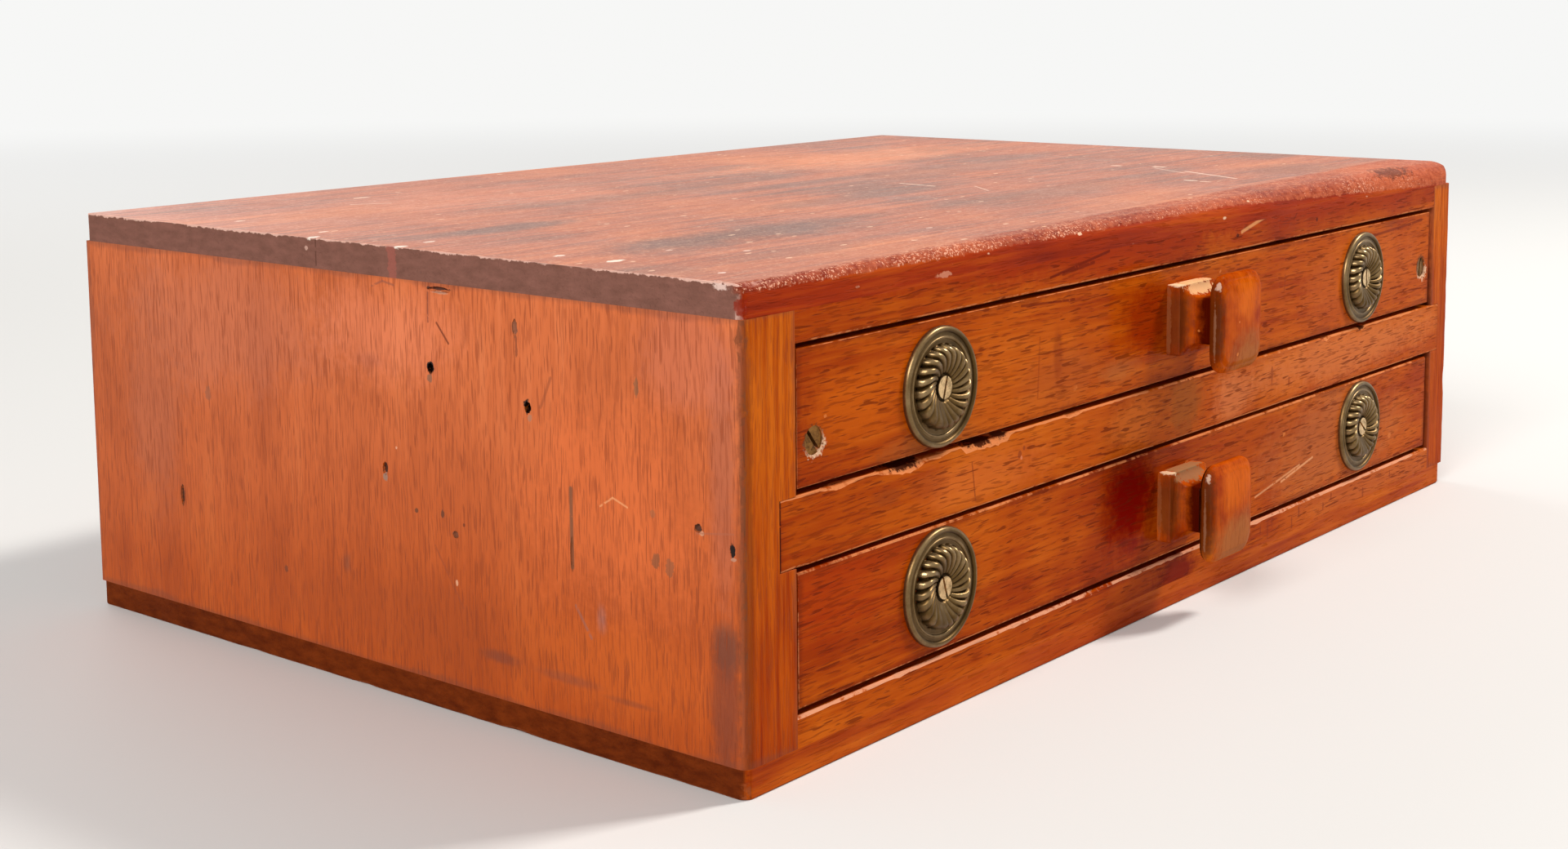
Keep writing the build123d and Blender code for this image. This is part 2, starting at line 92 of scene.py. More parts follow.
class Finish:
    def __init__(self, name, kind="materials"):
        self.owner = getattr(bpy.data, kind).new(name)
        self.owner.use_nodes = True
        self.tree = self.owner.node_tree
        self.tree.nodes.clear()

    def node(self, kind, settings=None, sockets=None, output=0):
        made = self.tree.nodes.new(kind)
        for key, value in (settings or {}).items():
            if key == "stops":
                for i, (place, colour) in enumerate(value):
                    stop = made.color_ramp.elements[i] if i < 2 else made.color_ramp.elements.new(place)
                    stop.position = place
                    stop.color = (*colour, 1)
            else:
                setattr(made, key, value)
        for key, value in (sockets or {}).items():
            if isinstance(value, Signal):
                self.tree.links.new(value.socket, made.inputs[key])
            else:
                made.inputs[key].default_value = value
        return Signal(self, made.outputs[output] if len(made.outputs) else None)

    def maths(self, operation, first, second=0.0):
        return self.node("ShaderNodeMath", {"operation": operation}, {0: first, 1: second})

    def vector(self, operation, first, second=(0, 0, 0), output=0):
        return self.node("ShaderNodeVectorMath", {"operation": operation}, {0: first, 1: second}, output)

    def others(self, signal, *names):     # more outputs of the same node
        return [Signal(self, signal.socket.node.outputs[name]) for name in names]

    def split(self, vector):
        return self.others(self.node("ShaderNodeSeparateXYZ", None, {0: vector}), "X", "Y", "Z")

    def join(self, x, y, z):
        return self.node("ShaderNodeCombineXYZ", None, {0: x, 1: y, 2: z})

    def ease(self, value, low, high):     # 0 at low and 1 at high, whichever is larger
        return self.node("ShaderNodeMapRange", {"interpolation_type": "SMOOTHSTEP"},
                         {"Value": value, "From Min": low, "From Max": high})

    def noise(self, vector, stretch, detail=2.0, roughness=0.5):
        return self.node("ShaderNodeTexNoise", None, {
            "Vector": self.vector("MULTIPLY", vector, stretch), "Scale": 1.0, "Detail": detail,
            "Roughness": roughness})

    def blend(self, factor, first, second, mode="MIX"):
        first, second = [c if isinstance(c, Signal) else (*c, 1) for c in (first, second)]
        return self.node("ShaderNodeMix", {"data_type": "RGBA", "blend_type": mode},
                         {0: factor, 6: first, 7: second}, output=2)

    def ramp(self, value, stops):
        return self.node("ShaderNodeValToRGB", {"stops": stops}, {0: value})

    def bump(self, height, distance, strength, below=None):
        sockets = {"Height": height, "Distance": distance, "Strength": strength}
        if below:
            sockets["Normal"] = below
        return self.node("ShaderNodeBump", None, sockets)

    def nearLine(self, place, start, end, width):     # 1 on the line between two points, in millimetres
        run = (Vector(end) - Vector(start)) * mm
        offset = self.vector("SUBTRACT", place, tuple(Vector(start) * mm))
        share = self.node("ShaderNodeMath", {"operation": "MULTIPLY", "use_clamp": True},
                          {0: self.vector("DOT_PRODUCT", offset, tuple(run), output=1), 1: 1 / run.length_squared})
        nearest = self.node("ShaderNodeVectorMath", {"operation": "SCALE"}, {0: tuple(run), "Scale": share})
        gap = self.vector("LENGTH", self.vector("SUBTRACT", offset, nearest), output=1)
        return self.ease(gap, width * mm, width * 0.35 * mm)

    def near(self, place, centre, half):     # 0 at the centre and 1 at the half sizes, in millimetres
        offset = self.vector("SUBTRACT", place, tuple(Vector(centre) * mm))
        return self.vector("LENGTH", self.vector("DIVIDE", offset, tuple(Vector(half) * mm)), output=1)

    def close(self, sockets):
        shader = self.node("ShaderNodeBsdfPrincipled", None, sockets)
        self.node("ShaderNodeOutputMaterial", None, {"Surface": shader})
        return self.owner


# Wood: one finish for every board, with the grain along one axis of the piece.

roughs = {"grit": 1300, "crumble": 420, "drift": 38, "pinholes": 1700}     # fine to broad, in waves a metre


def woodFinish(name, look, lo, hi):
    finish = Finish(name)
    place = finish.node("ShaderNodeTexCoord", output="Object")
    x, y, z = finish.split(place)
    along, across, deep = {"x": (x, y, z), "y": (y, x, z), "z": (z, x, y)}[look["grain"]]
    seed = look["seed"]
    wander = (finish.noise(finish.join(along + seed, across, deep), look["bend"], 1.0) - 0.5) * look["wander"]
    grain = finish.join(along + seed, across + wander + seed, deep + wander)

    # tone: broad ribbons, fine streaks, soft clouds and a faint figure across the grain
    layers = [finish.noise(grain, look["ribbon"], 3.0), finish.noise(grain, look["streak"], 3.0, 0.6),
              finish.noise(place, (look["cloud"],) * 3, 3.0, 0.55), finish.noise(grain, look["figure"], 1.0)]
    streak, cloud = layers[1:3]
    tone = look["tone"]
    for layer, share in zip(layers, look["shares"]):
        tone = (layer - 0.5) * share + tone
    colour = finish.ramp(tone, look["stops"])

    faceX, faceY, faceZ = finish.split(finish.vector("ABSOLUTE", finish.node(
        "ShaderNodeNewGeometry", output="True Normal")))
    if "frontStops" in look:
        toFront = finish.ease(faceY, *look["frontTurn"])
        colour = finish.blend(toFront, colour, finish.ramp(
            (streak - 0.5) * look["frontStreak"] + tone + look["frontTone"], look["frontStops"]))
    if "fade" in look:   # painted shade: darker and richer towards the foot, standing in for the light falling off lower down
        low, high, foot = look["fade"]
        colour = finish.blend(finish.ease(z + (cloud - 0.5) * 0.05, high * mm, low * mm), colour,
                              foot, "MULTIPLY")

    grit = finish.noise(place, (roughs["grit"],) * 3, 2.0)
    crumble = finish.noise(place, (roughs["crumble"],) * 3, 3.0, 0.65)
    drift = finish.noise(place, (roughs["drift"],) * 3, 2.0)
    for centre, half, stain, depth in look["stains"]:
        spread = finish.near(place, centre, half) + (drift - 0.5) * 1.0 + (crumble - 0.5) * 0.8
        colour = finish.blend(finish.ease(spread, 1.15, 0.35) * depth, colour, stain)

    # pores: short dark dashes along the grain
    dashes = finish.ease(finish.noise(grain, look["pores"], 1.0), *look["poreRange"])
    sparse = finish.ease(finish.noise(grain, look["dashes"], 1.0), *look["dashRange"])
    pores = finish.maths("MAXIMUM", dashes * 0.6, sparse)
    colour = finish.blend(pores * look["poreDepth"], colour, look["poreColour"])

    # ends: the cut grain is duller and darker
    toEnd = finish.ease({"x": faceX, "y": faceY, "z": faceZ}[look["grain"]], 0.6, 0.9)
    if "endStops" in look:
        rings = finish.noise(grain, look["rings"], 3.0, 0.6)
        colour = finish.blend(toEnd, colour, finish.ramp(rings + (cloud - 0.5) * 0.3, look["endStops"]))

    # worn nose: rubbed reddish with pale pinpricks, more of them towards one end
    nose = 0.0
    if "nose" in look:
        worn = look["nose"]
        drop = finish.maths("MAXIMUM", x - worn["from"] * mm, 0.0) * worn["drop"]
        upper = finish.ease(z + (crumble - 0.5) * 0.0022 + drop, worn["below"] * mm, (worn["below"] + 0.6) * mm)
        fore = finish.ease(y + (drift - 0.5) * 0.004 + (crumble - 0.5) * 0.005 - x * worn["widen"],
                           worn["behind"] * mm, (worn["behind"] - worn["soft"]) * mm)
        nose = fore * upper
        colour = finish.blend(nose * worn["depth"], colour, finish.ramp(
            cloud * 0.4 + crumble * 0.6 + x * worn["paler"], worn["stops"]))
        pinholes = finish.noise(place, (roughs["pinholes"],) * 3, 2.0)
        pricks = finish.ease(pinholes * 0.75 + drift * 0.25 - x * worn["lean"], 0.575, 0.64) * nose
        colour = finish.blend(pricks * 0.75, colour, worn["pricks"])

    # distance to the nearest arris: the middle one of the three face distances
    centre, half = (lo + hi) / 2, (hi - lo) / 2
    inset = finish.vector("SUBTRACT", tuple(half),
                          finish.vector("ABSOLUTE", finish.vector("SUBTRACT", place, tuple(centre))))
    a, b, c = finish.split(inset)
    rim = finish.maths("MAXIMUM", finish.maths("MINIMUM", a, b),
                       finish.maths("MINIMUM", finish.maths("MAXIMUM", a, b), c))
    grimeReach = (crumble - 0.5) * look["grimeWidth"] * 1.1 + (drift - 0.5) * look["grimeWidth"] * 2.6 + rim
    colour = finish.blend(finish.ease(grimeReach, look["grimeWidth"], 0) * look["grime"], colour,
                          look["grimeColour"])

    # bare wood where the arrises are rubbed or broken
    facets = finish.maths("MAXIMUM", finish.maths("MAXIMUM", faceX, faceY), faceZ)
    broken = finish.ease(facets, 0.99, 0.93) * finish.ease(crumble + (drift - 0.5) * 1.4, *look["bareRange"])
    if "nose" in look:
        broken = (1 - fore) * broken
        rub = finish.ease((crumble - 0.5) * 0.0022 + (drift - 0.5) * 0.0016 + rim, 0.38 * mm, 0.1 * mm)
        rub = rub * (1 - finish.ease(drift, 0.5, 0.62) * 0.7)
        rub = rub * finish.ease(z, hi.z - 1.2 * mm, hi.z - 0.8 * mm)     # along the top arrises alone
        rub = rub * finish.ease(x, 0.12, -0.18)                          # and most of it at the left
        broken = finish.maths("MAXIMUM", broken * finish.ease(x, 0.198, -0.10), rub)
    colour = finish.blend(broken * look["bare"], colour, look["bareColour"])

    # pale flecks, longer along the grain
    if look["specks"]:
        cells = finish.node("ShaderNodeTexVoronoi", None, {
            "Vector": finish.vector("MULTIPLY", finish.vector("ADD", place, (seed, seed, 0)), look["speckGrid"]),
            "Scale": 1.0})
        draw = finish.split(finish.others(cells, "Color")[0])[0]
        size = finish.ease(draw, 1 - look["specks"], 1.0) * 0.15
        dots = finish.ease(cells + (grit - 0.5) * 0.10 - size, 0.02, -0.03) * finish.ease(drift, 0.36, 0.5)
        colour = finish.blend(dots * 0.8, colour, look["speckColour"])

    if "dust" in look:
        settled = finish.ease(grit * 0.7 + crumble * 0.3, 0.50, 0.66) * finish.ease(faceZ, 0.9, 1.0)
        colour = finish.blend(settled * look["dust"], colour, look["speckColour"])

    # single marks and scratches, each at its own place
    for centre, half, mark, depth in look["marks"]:
        reach = finish.near(place, centre, half) + (grit - 0.5) * 0.8 + (crumble - 0.5) * 1.3
        colour = finish.blend(finish.ease(reach, 1.0, 0.72) * depth, colour, mark)
    for start, end, width, mark, depth in look["lines"]:
        line = finish.nearLine(place, start, end, width) * finish.ease(
            crumble + grit * 0.5, 0.62 - width * 0.16, 0.74 - width * 0.16)
        colour = finish.blend(line * depth, colour, mark)

    dull = toEnd * 0.25 + broken * 0.3 + pores * 0.2 + nose * 0.08
    shine = (1 - broken) * (1 - toEnd) * (1 - nose * 0.6)
    if "sheen" in look:      # the one face that keeps its sheen
        shine = finish.ease({"x": faceX, "y": faceY, "z": faceZ}[look["sheen"]], 0.6, 0.95) * shine
    roughness = (cloud - 0.5) * 0.35 + (drift - 0.5) * 0.25 + dull + look["roughness"]
    waves = finish.bump(finish.noise(place, look["waves"], 2.0), look["waveDepth"], 1.0)
    relief = finish.bump(streak * 0.35 - pores + crumble * 0.12, look["relief"], 1.0, waves)
    return finish.close({
        "Base Color": colour, "Roughness": roughness, "Normal": relief,
        "Specular IOR Level": look["specular"],
        "Coat Weight": shine * look["coat"], "Coat Roughness": look["coatRoughness"]})


polish = {               # old shellac over straight mahogany
    "slot": "polished_mahogany", "grain": "x", "seed": 0.0, "bend": (5, 22, 22), "wander": 0.006,
    "ribbon": (6, 100, 100), "streak": (34, 800, 800), "cloud": 14, "figure": (70, 9, 9),
    "shares": (0.9, 0.75, 0.9, 0.35), "tone": 0.5,
    "stops": [(0.0, (0.21, 0.014, 0.0003)), (0.35, (0.34, 0.040, 0.0006)), (0.6, (0.455, 0.074, 0.0012)),
              (1.0, (0.60, 0.130, 0.006))],
    "pores": (150, 1700, 1700), "poreRange": (0.54, 0.66), "dashes": (105, 1050, 1050), "dashRange": (0.64, 0.70),
    "poreDepth": 0.66, "poreColour": (0.12, 0.010, 0.0004),
    "rings": (60, 500, 500), "stains": [], "lines": [], "marks": [],
    "grimeWidth": 2.2 * mm, "grime": 0.45, "grimeColour": (0.13, 0.012, 0.001),
    "bareRange": (0.36, 0.62), "bare": 0.75, "bareColour": (0.72, 0.25, 0.09),
    "specks": 0.07, "speckGrid": (110, 160, 160), "speckColour": (0.64, 0.19, 0.04),
    "roughness": 0.36, "specular": 0.01, "coat": 0.055, "coatRoughness": 0.12,
    "waves": (14, 40, 40), "waveDepth": 0.7 * mm, "relief": 0.09 * mm,
}

rubbed = {**polish,      # the outer sides: paler, drier, full of pore dashes
    "grain": "z", "bend": (9, 26, 26), "wander": 0.003,
    "ribbon": (7, 60, 60), "streak": (30, 560, 560), "cloud": 9, "figure": (60, 12, 12),
    "shares": (0.9, 0.6, 1.0, 0.25), "tone": 0.55,
    "stops": [(0.0, (0.38, 0.074, 0.020)), (0.4, (0.54, 0.118, 0.030)), (0.65, (0.66, 0.155, 0.044)),
              (1.0, (0.76, 0.21, 0.072))],
    # painted shade: the sides darkened towards the foot
    "fade": (8, 112, (0.80, 0.58, 0.20)),
    "pores": (150, 2200, 2200), "poreRange": (0.52, 0.64), "dashes": (110, 1450, 1450), "dashRange": (0.61, 0.69),
    "poreDepth": 0.6, "poreColour": (0.29, 0.050, 0.012),
    "frontStops": polish["stops"], "frontTone": 0.10, "frontStreak": 1.3, "frontTurn": (0.55, 0.9),
    "grimeColour": (0.19, 0.055, 0.030), "grime": 0.4, "grimeWidth": 1.7 * mm,
    "bareColour": (0.19, 0.062, 0.030), "bareRange": (0.34, 0.56),
    "specks": 0.05, "speckColour": (0.80, 0.36, 0.17),
    "roughness": 0.46, "sheen": "x", "coat": 0.34, "coatRoughness": 0.35, "specular": 0.03,
}

topLook = {**polish,     # the top: reddish, clouded, flecked, with dull end grain and a worn nose
    "slot": "dark_mahogany", "seed": 0.31,
    "ribbon": (5, 120, 120), "streak": (18, 480, 480), "cloud": 12, "figure": (40, 12, 12),
    "shares": (0.8, 1.0, 1.3, 0.2), "tone": 0.52,
    "stops": [(0.0, (0.15, 0.046, 0.020)), (0.28, (0.24, 0.062, 0.023)), (0.5, (0.40, 0.088, 0.024)),
              (1.0, (0.62, 0.175, 0.050))],
    "frontStops": [(0.0, (0.17, 0.008, 0.0003)), (0.45, (0.33, 0.026, 0.0006)), (1.0, (0.52, 0.085, 0.002))],
    "frontTone": -0.16, "frontStreak": 0.3, "frontTurn": (0.15, 0.45), "rings": (500, 160, 420),
    "endStops": [(0.3, (0.18, 0.078, 0.056)), (0.7, (0.25, 0.108, 0.080))],
    "poreDepth": 0.25, "bareColour": (0.85, 0.52, 0.42), "bareRange": (0.34, 0.54), "bare": 0.8,
    "specks": 0.6, "speckGrid": (110, 260, 260), "speckColour": (0.88, 0.56, 0.36), "dust": 0.25,
    "roughness": 0.5, "sheen": "z", "coat": 0.42, "coatRoughness": 0.3, "specular": 0.05, "grime": 0.0,
    "nose": {"below": 115.5, "from": 30, "drop": 0.036, "behind": -114.0, "soft": 3.0, "widen": 0.05, "depth": 0.85,
             "lean": 0.12, "paler": 0.35, "pricks": (0.80, 0.40, 0.26),
             "stops": [(0.38, (0.20, 0.018, 0.004)), (0.62, (0.50, 0.115, 0.046))]},
}

baseLook = {**topLook,   # the base: darker, not clouded by dust
    "seed": 0.77, "frontStops": polish["stops"], "frontTone": 0.0,
    "endStops": [(0.3, (0.10, 0.014, 0.0015)), (0.7, (0.20, 0.034, 0.004))],
    "specks": 0.0, "coat": 0.05, "bareColour": (0.30, 0.070, 0.020),
}
del baseLook["nose"], baseLook["dust"]

plainWood = {**polish,   # inside the drawers: never polished
    "slot": "plain_wood",
    "stops": [(0.0, (0.24, 0.105, 0.042)), (0.4, (0.36, 0.175, 0.075)), (0.7, (0.46, 0.245, 0.115)),
              (1.0, (0.55, 0.32, 0.16))],
    "poreColour": (0.12, 0.045, 0.018), "poreDepth": 0.5, "grimeColour": (0.16, 0.07, 0.03), "grime": 0.5,
    "bareColour": (0.55, 0.34, 0.18), "specks": 0.08, "speckColour": (0.14, 0.06, 0.03),
    "roughness": 0.62, "coat": 0.0, "specular": 0.3, "relief": 0.16 * mm,
}


# Boards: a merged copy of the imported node, its arrises eased, and worn or chipped along some of them.

def copyNode(node):
    bm = bmesh.new()
    bm.from_mesh(frame["nodes"][node].data)
    bmesh.ops.remove_doubles(bm, verts=bm.verts, dist=0.002 * mm)
    bmesh.ops.dissolve_limit(bm, angle_limit=math.radians(0.6), verts=bm.verts, edges=bm.edges)
    return bm


def sliceAcross(bm, axis, places):
    normal = Vector([float(i == axis) for i in range(3)])
    for place in places:
        bmesh.ops.bisect_plane(bm, geom=bm.verts[:] + bm.edges[:] + bm.faces[:], dist=0.0005 * mm,
                               plane_co=normal * place, plane_no=normal)


def stations(start, end, step, seed):     # uneven places from start to end
    draw = random.Random(seed)
    count = max(2, round((end - start) / step))
    return [start + (end - start) * (i + draw.uniform(-0.35, 0.35)) / count for i in range(1, count)]


def easeArrises(bm, widths, lo, hi, tight=()):     # tight: (axis, place) of seams that stay sharp
    for axis, width in widths.items():
        run = axes[axis]
        chosen = []
        for edge in bm.edges:
            if len(edge.link_faces) != 2 or not edge.is_convex or edge.calc_face_angle() < math.radians(40):
                continue
            way = edge.verts[1].co - edge.verts[0].co
            middle = (edge.verts[0].co + edge.verts[1].co) / 2
            rim = sorted(min(middle[i] - lo[i], hi[i] - middle[i]) for i in range(3))[1]
            seam = any(abs(middle[axes[i]] - level) < 0.05 * mm for i, level in tight)
            if way.length > 0.02 * mm and abs(way[run]) > 0.98 * way.length and rim < 3 * mm and not seam:
                chosen.append(edge)
        bmesh.ops.bevel(bm, geom=chosen, offset=width, offset_type="OFFSET", segments=2, profile=0.5,
                        affect="EDGES", material=-1, clamp_overlap=True)


def wearArris(bm, wear):
    run = axes[wear["along"]]
    (first, firstPlace), (second, secondPlace) = wear["corner"]
    for vert in bm.verts:
        a, b = vert.co[first] - firstPlace, vert.co[second] - secondPlace
        if abs(a) > wear["reach"] or abs(b) > wear["reach"]:
            continue
        t = vert.co[run] / mm
        fine = noise.noise(Vector((t / wear["fine"], wear["seed"], 0)))
        slow = noise.noise(Vector((t / wear["pitch"], wear["seed"], 7)))
        growA = growB = wear["base"] + wear["wobble"] * fine + wear["bite"] * max(0.0, slow - wear["spare"])
        for centre, length, deepA, deepB in wear["chips"]:
            hollow = max(0.0, 1 - abs((t - centre) / length) ** 3) * (1 + 0.5 * fine)
            growA += deepA * hollow
            growB += deepB * hollow
        vert.co[first] = firstPlace + a * growA
        vert.co[second] = secondPlace + b * growB


def addPits(bm, axis, level, pits):     # dents in the face at that level: centre, half sizes and depth in millimetres
    run = axes[axis]
    one, two = [i for i in range(3) if i != run]
    inward = Vector([float(i == run) for i in range(3)]) * (1 if level < 0 else -1)
    for centre, half, depth in pits:
        centre, half = Vector(centre) * mm, Vector(half) * mm
        cell = half * 1.35

        def inCell(face, slack):
            middle = face.calc_center_median()
            lows = [min(vert.co[i] for vert in face.verts) for i in (one, two)]
            highs = [max(vert.co[i] for vert in face.verts) for i in (one, two)]
            flat = abs(abs(face.normal[run]) - 1) < 0.01 and abs(middle[run] - level) < 0.02 * mm
            return flat and all(low < centre[k] + cell[k] - slack and high > centre[k] - cell[k] + slack
                                for k, low, high in zip((0, 1), lows, highs))

        for k, i in ((0, one), (1, two)):
            for side in (-1, 1):
                faces = [face for face in bm.faces if inCell(face, 0.01 * mm)]
                edges = dict.fromkeys(edge for face in faces for edge in face.edges)
                verts = dict.fromkeys(vert for face in faces for vert in face.verts)
                plane = Vector((0, 0, 0))
                plane[i] = centre[k] + side * cell[k]
                bmesh.ops.bisect_plane(bm, geom=[*faces, *edges, *verts], dist=0.0005 * mm, plane_co=plane,
                                       plane_no=Vector([float(j == i) for j in range(3)]))
        inside = [face for face in bm.faces if inCell(face, 0.02 * mm)]
        floor = inside[0] if len(inside) == 1 else bmesh.ops.dissolve_faces(bm, faces=inside)["region"][0]
        bmesh.ops.inset_region(bm, faces=[floor], thickness=min(cell) * 0.12)
        bmesh.ops.subdivide_edges(bm, edges=list(floor.edges), cuts=3)
        middle = Vector((0, 0, 0))
        middle[one], middle[two], middle[run] = centre[0], centre[1], level
        floor = min((f for f in bm.faces if abs(f.normal[run]) > 0.99), key=lambda f: (
            (f.calc_center_bounds() - middle).length, -len(f.verts)))
        draw = random.Random(round(depth * 1000 + centre[0] * 9e5))

        def turnOf(vert):
            return math.atan2((vert.co[two] - centre[1]) / half[1], (vert.co[one] - centre[0]) / half[0])

        for vert in sorted(floor.verts, key=lambda vert: (turnOf(vert) + 0.1) % math.tau):     # alike in every run
            angle, reach = turnOf(vert), draw.uniform(0.86, 1.08)
            vert.co[one] = centre[0] + math.cos(angle) * half[0] * reach
            vert.co[two] = centre[1] + math.sin(angle) * half[1] * reach
        for share, drop in ((0.86, 0.55), (0.62, 0.45)):
            made = bmesh.ops.extrude_face_region(bm, geom=[floor])["geom"]
            below = [part for part in made if isinstance(part, bmesh.types.BMFace)][0]
            if floor.is_valid and floor != below:
                bmesh.ops.delete(bm, geom=[floor], context="FACES_ONLY")
            floor = below
            for vert in floor.verts:
                for k, i in ((0, one), (1, two)):
                    vert.co[i] = centre[k] + (vert.co[i] - centre[k]) * share
                vert.co += inward * depth * drop * mm
        bmesh.ops.recalc_face_normals(bm, faces=bm.faces)


def markSharp(bm, limit=28):
    for face in bm.faces:
        face.smooth = True
    for edge in bm.edges:
        if len(edge.link_faces) != 2:
            continue
        flat = [max(abs(c) for c in face.normal) > 0.9999 for face in edge.link_faces]
        edge.smooth = edge.calc_face_angle() < math.radians(limit) and flat[0] == flat[1]


def camelName(node):     # upper_drawer_front becomes upperDrawerFront
    first, *rest = node.split("_")
    return first + "".join(word.title() for word in rest)


def addPiece(name, bm, nodes, material):
    mesh = bpy.data.meshes.new(name)
    bm.to_mesh(mesh)
    bm.free()
    piece = bpy.data.objects.new(name, mesh)
    bpy.context.scene.collection.objects.link(piece)
    mesh.materials.append(material)
    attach(piece, bodyOf[nodes[0]])
    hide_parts(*nodes)


def addBoard(node, look, widths, wears=(), slices=None, tight=(), pits=None):
    name = camelName(node)
    lo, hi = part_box(node)
    bm = copyNode(node)
    if slices:
        axis, start, end, step = slices
        sliceAcross(bm, axes[axis], stations(start * mm, end * mm, step * mm, look["seed"]))
    easeArrises(bm, widths, lo, hi, tight)
    for wear in wears:
        wearArris(bm, wear)
    if pits:
        addPits(bm, *pits)
    markSharp(bm)
    addPiece(name, bm, [node], woodFinish(name + "Wood", look, lo, hi))


def wearOf(along, corner, seed, **changes):
    return {"along": along, "corner": corner, "seed": seed, "reach": 1.6 * mm, "fine": 3.0, "pitch": 11.0,
            "base": 1.0, "wobble": 0.5, "bite": 4.0, "spare": 0.25, "chips": [], **changes}


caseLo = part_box("base_board")[0]
topLo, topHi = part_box("top_board")
leftLo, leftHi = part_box("left_side")
rightLo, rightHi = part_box("right_side")
dividerLo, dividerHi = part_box("divider_rail")
left, right, front, back, top = -198, 198, -127, 127, 118     # faces of the case, in millimetres

topDents = {"marks": [
    # the pale worn left corner of the lid, whitened further as a painted highlight along the nose's top edge
    ((-197.0, -121.0, 117.0), (1.5, 3.6, 1.2), (0.84, 0.60, 0.52), 0.8),
    ((-193.5, -122.6, 116.9), (4.2, 1.2, 1.0), (0.84, 0.58, 0.50), 0.8),
    ((-187, -123.4, 116.6), (3.2, 0.9, 0.8), (0.82, 0.54, 0.44), 0.75),
    ((left, -10.5, 114), (2, 2.0, 9), (0.34, 0.105, 0.078), 0.8),
    ((left, 24, 115.3), (2, 0.8, 0.7), (0.66, 0.40, 0.32), 0.7),
    ((152, -121.5, 115.6), (20, 5, 3.2), (0.045, 0.010, 0.006), 0.65),
    ((-183.9, 71.6, top), (2.2, 1.0, 1), (0.86, 0.62, 0.46), 0.85),
    ((-120.3, 96.1, top), (4, 1.2, 1), (0.86, 0.62, 0.46), 0.8),
    ((-187.1, 30.3, top), (2.0, 0.8, 1), (0.88, 0.70, 0.58), 0.9),
    ((-196.5, 22.6, top), (2.0, 1.2, 1), (0.92, 0.78, 0.66), 0.9),
    ((-196.5, -12.2, top), (2.0, 1.5, 1), (0.92, 0.78, 0.66), 0.9),
    ((-185.6, -10.6, top), (2.4, 0.9, 1), (0.88, 0.70, 0.58), 0.9),
    ((-186.2, -58.6, top), (2.2, 1.2, 1), (0.88, 0.70, 0.58), 0.9),
    ((-185.3, -76.6, top), (3.2, 1.5, 1), (0.90, 0.72, 0.58), 0.95),
    ((-162.1, -72.9, top), (1.5, 0.8, 1), (0.80, 0.52, 0.40), 0.8),
    ((-151.5, -89.3, top), (1.8, 0.9, 1), (0.84, 0.58, 0.46), 0.8),
    ((-186, -111, top), (1.6, 0.9, 1), (0.84, 0.60, 0.50), 0.8),
    ((-85.2, -97, top), (1.4, 0.8, 1), (0.80, 0.50, 0.38), 0.8),
    ((-121, front, 111.6), (3.4, 3, 0.9), (0.70, 0.30, 0.18), 0.6),
    ((-197.6, front, 112.6), (2.2, 2.5, 2.6), (0.26, 0.016, 0.003), 0.75),
    ((112.8, -37.9, top), (1.6, 2.4, 1), (0.88, 0.64, 0.48), 0.8),
    ((117, -53, top), (1.8, 3.2, 1), (0.88, 0.64, 0.48), 0.8),
    ((76.4, -87.3, top), (1.4, 2.6, 1), (0.88, 0.66, 0.50), 0.85),
    ((75.5, -93.4, top), (1.0, 2.2, 1), (0.86, 0.60, 0.44), 0.8)],
    "stains": [
        ((-152, -4, top), (30, 9, 3), (0.115, 0.042, 0.024), 0.75),
        ((-132, -66, top), (54, 17, 3), (0.115, 0.042, 0.024), 0.8),
        ((-150, -100, top), (40, 9, 3), (0.22, 0.070, 0.036), 0.45),
        ((-190, -96, top), (12, 22, 3), (0.24, 0.080, 0.042), 0.4),
        ((-90, 60, top), (60, 40, 3), (0.62, 0.17, 0.065), 0.4),
        ((90, 60, top), (90, 30, 3), (0.76, 0.22, 0.060), 0.6),
        ((60, 5, top), (80, 16, 3), (0.20, 0.062, 0.030), 0.45),
        ((20, -70, top), (70, 12, 3), (0.22, 0.064, 0.024), 0.5),
        ((-60, 30, top), (70, 12, 3), (0.19, 0.058, 0.024), 0.45),
        ((-40, -30, top), (60, 8, 3), (0.19, 0.058, 0.024), 0.45),
        ((135, -95, top), (34, 18, 4), (0.13, 0.030, 0.014), 0.55)],
    "lines": [
        ((-135.7, 82, top), (-125.8, 75.4, top), 0.5, (0.88, 0.66, 0.50), 0.85),
        ((14.6, -14.3, top), (12.7, -29.2, top), 0.8, (0.88, 0.62, 0.46), 0.85),
        ((106.1, -69.3, top), (91.2, -96.2, top), 0.9, (0.86, 0.60, 0.46), 0.85),
        ((112, -53.8, top), (100, -72, top), 0.6, (0.82, 0.54, 0.40), 0.7),
        ((20, -40, top), (10, -52, top), 0.5, (0.80, 0.52, 0.38), 0.7),
        ((left, 20, 111), (left, 20, top), 0.35, (0.09, 0.035, 0.024), 0.7)],
}
addBoard("top_board", {**topLook, **topDents},
         {"x": 0.12 * mm, "y": 0.38 * mm, "z": 0.2 * mm},
         [wearOf("y", [(0, topLo.x), (2, topHi.z)], 3.1, base=0.7, wobble=0.15, bite=2.5, spare=0.26, pitch=8,
                 fine=3.4, chips=[(-121, 3, 4, 3), (-100, 4, 2.5, 1.5), (-72, 3, 2, 1.5), (-44, 5, 3, 2),
                                  (-13, 1.8, 4, 3), (18, 1.5, 4, 3), (44, 3, 2, 1.2), (70, 1.2, 3, 2),
                                  (98, 3, 2, 1.2)]),
          wearOf("x", [(1, topLo.y), (2, topHi.z)], 5.3, reach=7.4 * mm, wobble=0.06, bite=0.12, fine=4, pitch=17)],
         ("x", -197, 197, 3.5), tight=[("z", topLo.z)])
